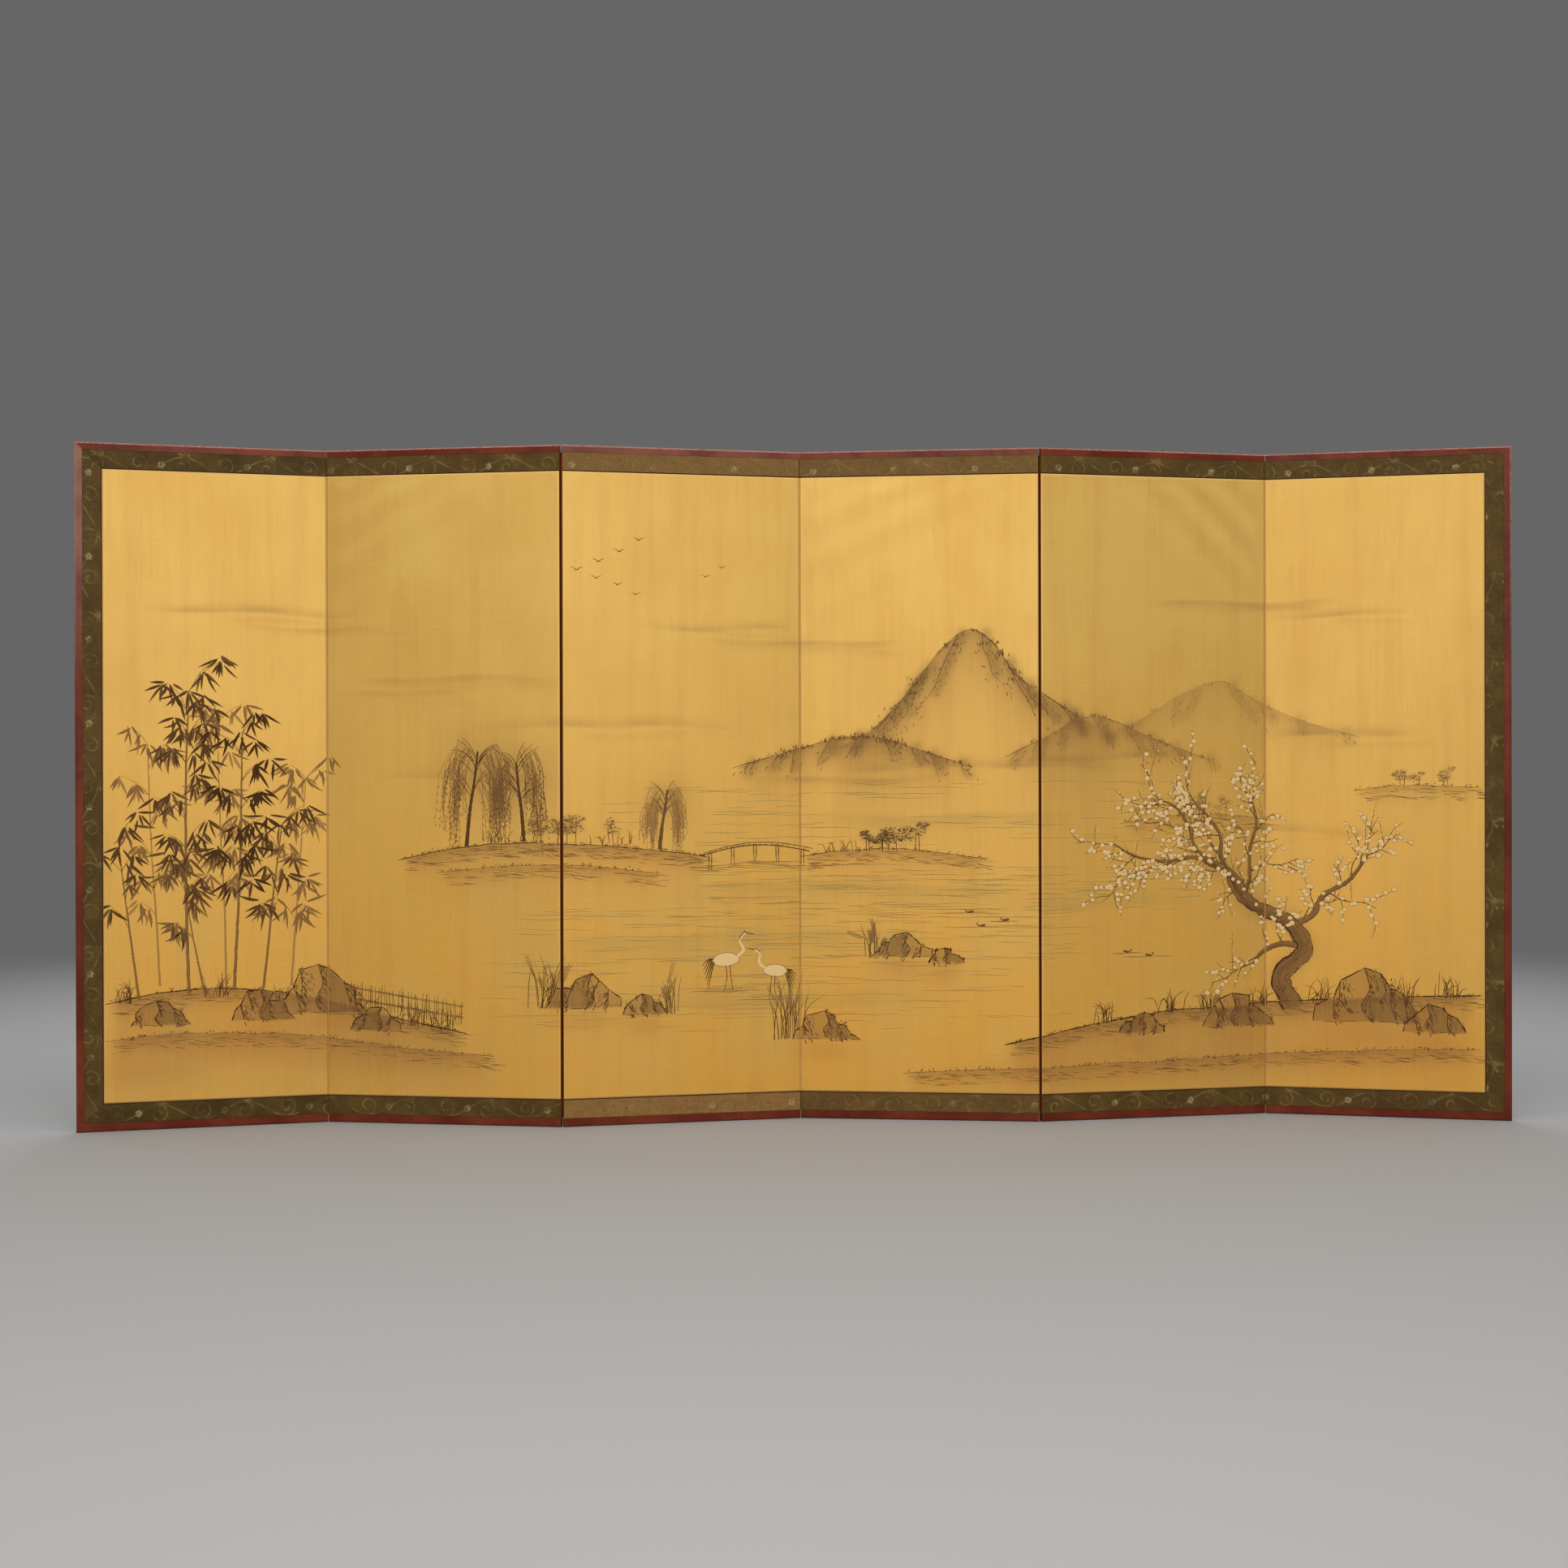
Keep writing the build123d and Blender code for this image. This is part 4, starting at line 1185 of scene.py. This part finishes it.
def paint():
    """Nearer things first, since later strokes pass behind stones and hills."""
    right_shore()
    left_grove()
    shallows()
    middle_ground()
    sky_and_peaks()


# ------------------------------------------------------------------ the painting as pieces
def ribbon(points, widths):
    """Rows of points across a stroke, and which of them stand up."""
    along = np.gradient(points, axis=0)
    along /= np.maximum(np.linalg.norm(along, axis=1), 1e-9)[:, None]
    side = np.stack([-along[:, 1], along[:, 0]], 1) * widths[:, None]
    top = 0.5 * FLAT_TOP
    if widths.max() < BROAD_STROKE:
        return [points + side * s for s in (0.5, 0, -0.5)], (0, 1, 0)
    return [points + side * s for s in (0.5, top, -top, -0.5)], (0, 1, 1, 0)


def filled(centre, outline):
    """Rows of points from the middle of a shape to its outline, and which of them stand up."""
    centre = np.broadcast_to(centre, outline.shape)
    return [centre, centre + (outline - centre) * FLAT_TOP, outline], (1, 1, 0)


def painting_pieces():
    """The strokes of each panel, as one piece, cut off at the panel's edges."""
    inks = [Material(f"ink_{name}", base_color=colour, roughness=0.78, specular_ior_level=0.12).material
            for name, colour in TONES.items()]
    for panel in panels:
        (x0, _), (z0, z1), (_, front) = panel.silk
        lo, hi = panel.u0 + INK_MARGIN, panel.u1 - INK_MARGIN
        points, faces, slots, start = [], [], [], 0
        for order, (tone, first, second) in enumerate(strokes):
            is_ribbon = second.ndim == 1
            reach = (first if is_ribbon else second)[:, 0]
            if reach.max() < lo or reach.min() > hi:
                continue
            rows, rise = (ribbon if is_ribbon else filled)(first, second)
            rows = np.stack(rows)
            k, n = rows.shape[:2]
            u = np.clip(rows[..., 0], lo, hi).ravel()
            z = np.clip(rows[..., 1], z0 + INK_MARGIN, z1 - INK_MARGIN).ravel()
            lift = INK_RISE + INK_LAYER * tone + STROKE_LAYER * (order % 9)
            quads = grid_faces(n, k)[:, ::-1]
            qu, qz = u[quads], z[quads]
            keep = (qu.min(1) > lo + CUT_OFF) & (qu.max(1) < hi - CUT_OFF)
            keep = (keep | (np.ptp(qu, axis=1) > CUT_OFF)) & (np.ptp(qz, axis=1) > CUT_OFF)
            points.append(np.stack([u, z, np.repeat(np.where(rise, lift, -INK_DIP), n)], 1))
            faces.append(quads[keep] + start)
            slots.append(np.full(int(keep.sum()), tone))
            start += k * n
        points, faces, slots = (np.concatenate(one) for one in (points, faces, slots))
        used, inverse = np.unique(faces, return_inverse=True)
        u, z, lift = points[used].T
        x = u - panel.u0 + x0
        piece = mesh_object(f"{panel.body}_ink", panel.places(x, z, front + relief(panel, x, z) + lift),
                            inverse.reshape(faces.shape), panel, *inks)
        piece.data.polygons.foreach_set("material_index", slots.astype(np.int32))


def silk_piece(panel, material):
    """The painting silk of a panel, which takes the place of its flat CAD sheet."""
    (x0, x1), (z0, z1), (back, front) = panel.silk
    xs = np.linspace(x0, x1, round((x1 - x0) / SILK_STEP) + 1)
    zs = np.linspace(z0, z1, round((z1 - z0) / SILK_STEP) + 1)
    gx, gz = np.meshgrid(xs, zs)
    x, z, d, faces, _ = cloth_mesh(gx, gz, front + relief(panel, gx, gz), back)
    piece = mesh_object(f"{panel.body}_painted_silk", panel.places(x, z, d), faces, panel, material)
    u = x - x0 + panel.u0
    give(piece, "cloth", np.stack([u, z, np.full(len(u), NOISE_SHIFT * panel.number)], 1))
    up, across = np.gradient(ripple(panel, gx, gz), zs, xs)
    lean = (up + 0.6 * across).ravel() / FULL_LEAN
    lean = np.concatenate([lean, np.zeros(len(x) - lean.size)])
    edge = PALE_SHARE * (1 - smoothstep(0.0, PALE_EDGE, from_edge(panel, x, z)))
    give(piece, "cast", np.stack([edge, np.clip(-lean, 0, 1) * LIT, np.clip(lean, 0, 1) * SHADED], 1))
    give(piece, "wash", wash_at(u, z).T)
    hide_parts(f"{panel.body}_painting_silk")


# ------------------------------------------------------------------ the brocade
TILE = (0.208, 0.152)                    # the woven pattern's repeat, along and across
TILE_STEP = 1.0 * MM
BROCADE_STEP = 1.5 * MM
TURNED_EDGE = 3.4 * MM                   # the dark edge beside the gold
THREAD_RISE = 0.10 * MM
LEVEL_START = ((0.0, 0.041), (0.060, -0.004))   # of the pattern on the top and the bottom strip
UPRIGHT_START = (0.021, 0.004)
STRIP_SHIFT = 2.3                        # makes each strip's noise its own
NO_STRIP = 5 * MM                        # a side with less room than this has no brocade
VINE_SWING = 0.020
CURL_START, CURL_END = 0.0235, 0.0060    # the radius of a curl of the vine
CURL_TURN = 2.4 * math.pi
BLOOM_RADIUS, BLOOM_HEART = 0.0095, 0.0026
# painted sheen, partly fading: how much paler tan a strip turns where it catches the light, by (panel,
# strip)
FADED_AND_SHEEN = {(3, 0): 0.62, (3, 1): 0.95, (4, 0): 0.45, (4, 1): 0.30, (1, 0): 0.0, (1, 1): 0.0}
FADED_AND_SHEEN_ELSEWHERE = 0.08


def scroll_fields():
    """Two maps of one repeat: the distance to the scrolling vine, and to the blossoms' edges."""
    wide, high = TILE
    lines = []
    x = np.linspace(0, wide, 100)
    for row, shift in ((0.25, 0.0), (0.75, 0.5)):
        lines.append(np.stack([x, high * row + VINE_SWING * np.sin(2 * np.pi * (x / wide + shift))], 1))
        for k, up in ((0.25, 1), (0.75, -1)):
            crest = np.array([(k - shift) % 1 * wide, high * row + up * VINE_SWING])
            turn, r = np.linspace(0, CURL_TURN, 70), np.linspace(CURL_START, CURL_END, 70)
            centre = crest - [0.003, up * CURL_START]
            lines.append(centre + np.stack([r * np.sin(turn), up * r * np.cos(turn)], 1))
            for lean, long in ((0.35, 0.017), (0.9, 0.020), (2.3, 0.015)):   # leaves on the vine
                for side in (-0.16, 0.0, 0.16):
                    tip = crest + long * np.array([math.cos(lean + side), up * math.sin(lean + side)])
                    lines.append(np.linspace(crest + [0, up * 0.002], tip, 10))
    gx, gy = np.meshgrid(np.arange(0, wide, TILE_STEP), np.arange(0, high, TILE_STEP))
    vine, petal = np.full((2, *gx.shape), 1.0)
    for shift in [np.array([sx, sy]) for sx in (-wide, 0, wide) for sy in (-high, 0, high)]:
        for px, py in np.concatenate(lines) + shift:
            np.minimum(vine, np.hypot(gx - px, gy - py), out=vine)
        for cx, cy in ((0.0, high * 0.25) + shift, (wide * 0.5, high * 0.75) + shift):
            dx, dy = gx - cx, gy - cy
            r = np.hypot(dx, dy)
            edge = BLOOM_RADIUS * (0.66 + 0.34 * np.abs(np.cos(2.5 * np.arctan2(dy, dx))))
            np.minimum(petal, np.where(r < BLOOM_HEART, 0.0012, r - edge), out=petal)
    return vine, petal


def sample(field, x, y):
    """A repeating field between its samples."""
    rows, columns = field.shape
    fx, fy = x / TILE_STEP % columns, y / TILE_STEP % rows
    ix, iy = np.floor(fx).astype(int), np.floor(fy).astype(int)
    tx, ty = fx - ix, fy - iy
    jx, jy = (ix + 1) % columns, (iy + 1) % rows
    ix, iy = ix % columns, iy % rows
    return ((field[iy, ix] * (1 - tx) + field[iy, jx] * tx) * (1 - ty)
            + (field[jy, ix] * (1 - tx) + field[jy, jx] * tx) * ty)


def brocade_piece(panel, fields, material):
    """The brocade strips of a panel, with their mitres, in place of the CAD node."""
    (bx0, bx1), (bz0, bz1), (back, front) = panel.brocade
    (sx0, sx1), (sz0, sz1) = panel.silk[:2]
    outer = {"bl": (bx0, bz0), "tl": (bx0, bz1), "tr": (bx1, bz1), "br": (bx1, bz0)}
    inner = {"bl": (sx0, sz0), "tl": (sx0, sz1), "tr": (sx1, sz1), "br": (sx1, sz0)}
    strips = [("tl", "tr"), ("br", "bl")]
    if sx0 - bx0 > NO_STRIP:
        strips.append(("bl", "tl"))
    if bx1 - sx1 > NO_STRIP:
        strips.append(("tr", "br"))
    parts, start, area = [], 0, 0.0
    for number, (one, other) in enumerate(strips):
        a, b, ia, ib = (np.array(c) for c in (outer[one], outer[other], inner[one], inner[other]))
        upright = number > 1
        length = np.linalg.norm(b - a)
        across = abs((a - ia)[0 if upright else 1])
        t = np.linspace(0, 1, round(length / BROCADE_STEP) + 1)[None, :, None]
        plain = np.linspace(TURNED_EDGE, across, round((across - TURNED_EDGE) / BROCADE_STEP) + 1)
        rows = np.concatenate([[0, TURNED_EDGE * 0.85], plain])
        s = (rows / across)[:, None, None]
        grid = (ia * (1 - t) + ib * t) * (1 - s) + (a * (1 - t) + b * t) * s
        gx, gz = grid[..., 0], grid[..., 1]
        u = gx - sx0 + panel.u0
        if upright:
            p, q = gz + UPRIGHT_START[0], u + UPRIGHT_START[1]
        else:
            p, q = u + LEVEL_START[number][0], gz + LEVEL_START[number][1]
        turned_in = np.broadcast_to((rows < TURNED_EDGE).astype(float)[:, None], gx.shape)
        vine = (1 - smoothstep(1.0 * MM, 2.4 * MM, sample(fields[0], p, q))) * (1 - turned_in)
        bloom = (1 - smoothstep(-0.5 * MM, 0.5 * MM, sample(fields[1], p, q))) * (1 - turned_in)
        x, z, d, faces, every = cloth_mesh(gx, gz, front + THREAD_RISE * np.maximum(vine, bloom), back)
        cloth = np.stack([p, q, np.full(gx.shape, STRIP_SHIFT * number + panel.number)], -1).reshape(-1, 3)
        woven = np.stack([vine, bloom, turned_in], -1).reshape(-1, 3)
        # painted sheen, partly fading, the same for each point of the strip
        faded = np.full(len(x), FADED_AND_SHEEN.get((panel.number, number), FADED_AND_SHEEN_ELSEWHERE))
        parts.append((x, z, d, faces + start, cloth[every], woven[every], faded))
        start += len(x)
        area += across * (length + np.linalg.norm(ib - ia)) / 2
    x, z, d, faces, cloth, woven, faded = (np.concatenate(one) for one in zip(*parts))
    piece = mesh_object(f"{panel.body}_brocade", panel.places(x, z, d), faces, panel, material)
    give(piece, "cloth", cloth)
    give(piece, "woven", woven)
    give(piece, "faded", faded)
    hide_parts(f"{panel.body}_brocade_border")


# ------------------------------------------------------------------ camera, lights and room
SENSOR = 36.0                            # mm, as wide as the picture
LENS = 46.58                             # mm
CAMERA_PLACE = (-0.221, -5.183, 0.882)
CAMERA_TURN = (-0.204, -1.965, -0.137)   # pitch, yaw and roll in degrees
BACKDROP = (0.133, 0.133, 0.133, 1)
FLOOR = (0.42, 0.42, 0.42, 1)
FLOOR_REACH = 60.0
FLOOR_FADES = (2.4, 6.5)                 # from the middle of the screen
AMBIENT = 0.52


def place_camera():
    data = bpy.data.cameras.new("camera")
    data.lens, data.sensor_width, data.sensor_fit = LENS, SENSOR, "HORIZONTAL"
    camera = show(bpy.data.objects.new("camera", data))
    pitch, yaw, roll = (math.radians(a) for a in CAMERA_TURN)
    camera.matrix_world = (Matrix.Translation(CAMERA_PLACE) @ Matrix.Rotation(yaw, 4, "Z")
                           @ Matrix.Rotation(math.pi / 2 + pitch, 4, "X") @ Matrix.Rotation(roll, 4, "Z"))
    bpy.context.scene.camera = camera


def soft_box(name, place, target, size, power, colour=(1, 1, 1)):
    data = bpy.data.lights.new(name, "AREA")
    data.shape, data.size, data.size_y = "RECTANGLE", *size
    data.energy, data.color = power, colour
    light = show(bpy.data.objects.new(name, data))
    light.rotation_euler = (Vector(target) - Vector(place)).to_track_quat("-Z", "Y").to_euler()
    light.location = place


def room():
    """A plain pale floor that fades into a plain grey backdrop, lit softly from above the camera."""
    m = Material("studio_floor", roughness=0.9, emission_color=BACKDROP)
    away = m.result("VectorMath", m.result("TexCoord", out="Object"), out="Value", operation="LENGTH")
    faded = m.span(away, *FLOOR_FADES)
    m.shade(emission_strength=faded, base_color=m.mix(faded, FLOOR, (0, 0, 0)),
            specular_ior_level=m.span(faded, 0.0, 1.0, 0.2, 0.0))
    ring = [(FLOOR_REACH * math.cos(a), FLOOR_REACH * math.sin(a), 0)
            for a in np.linspace(0, 2 * math.pi, 48, endpoint=False)]
    mesh = bpy.data.meshes.new("studio_floor")
    mesh.from_pydata(ring, [], [tuple(range(len(ring)))])
    mesh.materials.append(m.material)
    floor = show(bpy.data.objects.new("studio_floor", mesh))

    world = bpy.context.scene.world = bpy.data.worlds.new("studio")
    world.use_nodes = True
    tree = world.node_tree
    light, seen = tree.nodes["Background"], tree.nodes.new("ShaderNodeBackground")
    light.inputs["Color"].default_value = (1, 1, 1, 1)
    light.inputs["Strength"].default_value = AMBIENT
    seen.inputs["Color"].default_value = BACKDROP
    ray, chosen = tree.nodes.new("ShaderNodeLightPath"), tree.nodes.new("ShaderNodeMixShader")
    for socket, out in zip(chosen.inputs, (ray.outputs["Is Camera Ray"], light.outputs[0], seen.outputs[0])):
        tree.links.new(out, socket)
    tree.links.new(chosen.outputs[0], tree.nodes["World Output"].inputs[0])
    soft_box("key", (-0.3, -5.6, 2.1), (0, 0, 0.8), (4.8, 1.8), 150.0, (1.0, 0.97, 0.93))
    soft_box("top", (0.0, -1.6, 4.4), (0, 0, 1.0), (5.0, 1.2), 45.0)
    soft_box("back", (0.0, 5.6, 2.6), (0, 0, 0.8), (4.8, 1.8), 90.0)


# ------------------------------------------------------------------ putting it together
# how pale the lacquer turns towards the top: partly dusty, partly a painted highlight
RAIL_DUST_AND_HIGHLIGHT = {1: 0.05, 2: 0.0, 3: 0.22, 4: 0.10, 5: 0.0, 6: 0.0}   # by panel
# the same for the outer stiles; on the left stile it is mostly a painted highlight on its upper half
LEFT_DUST_AND_HIGHLIGHT, RIGHT_DUST_AND_HIGHLIGHT = 0.66, 0.06       # on the outer stiles

place_camera()
room()

silk_material, brocade_material = gold_silk(), brocade()
# the panel's own covering paper, dyed dark where it shows at the edges in a fold
edge_paper = Material("edge_paper", base_color=(136, 68, 15), roughness=0.85, specular_ior_level=0.2)
cedar = Material("cedar", base_color=(178, 140, 96), roughness=0.6)
nail_iron = Material("nail_iron", base_color=(70, 66, 62), metallic=0.9, roughness=0.5)
for panel in panels:
    lacquered = lacquer(panel, f"{panel.body}_rail_lacquer", RAIL_DUST_AND_HIGHLIGHT[panel.number])
    for part, material in (("top_rail", lacquered), ("bottom_rail", lacquered),
                           ("back_paper", back_paper(panel)), ("under_paper", edge_paper.material),
                           ("core", cedar.material), ("frame_pins", nail_iron.material)):
        wear(f"{panel.body}_{part}", material)
wear("left_outer_stile", lacquer(panels[0], "left_stile_lacquer", LEFT_DUST_AND_HIGHLIGHT))
wear("right_outer_stile", lacquer(panels[-1], "right_stile_lacquer", RIGHT_DUST_AND_HIGHLIGHT))
for fold in range(1, 6):
    for side, panel in (("left", panels[fold - 1]), ("right", panels[fold])):
        wear(f"fold_{fold}_{side}_hinge_paper", hinge_paper(panel, fold % 2 == 1))

paint()
fields = scroll_fields()
for panel in panels:
    silk_piece(panel, silk_material)
    brocade_piece(panel, fields, brocade_material)
painting_pieces()

bpy.context.scene.view_settings.view_transform = "Standard"
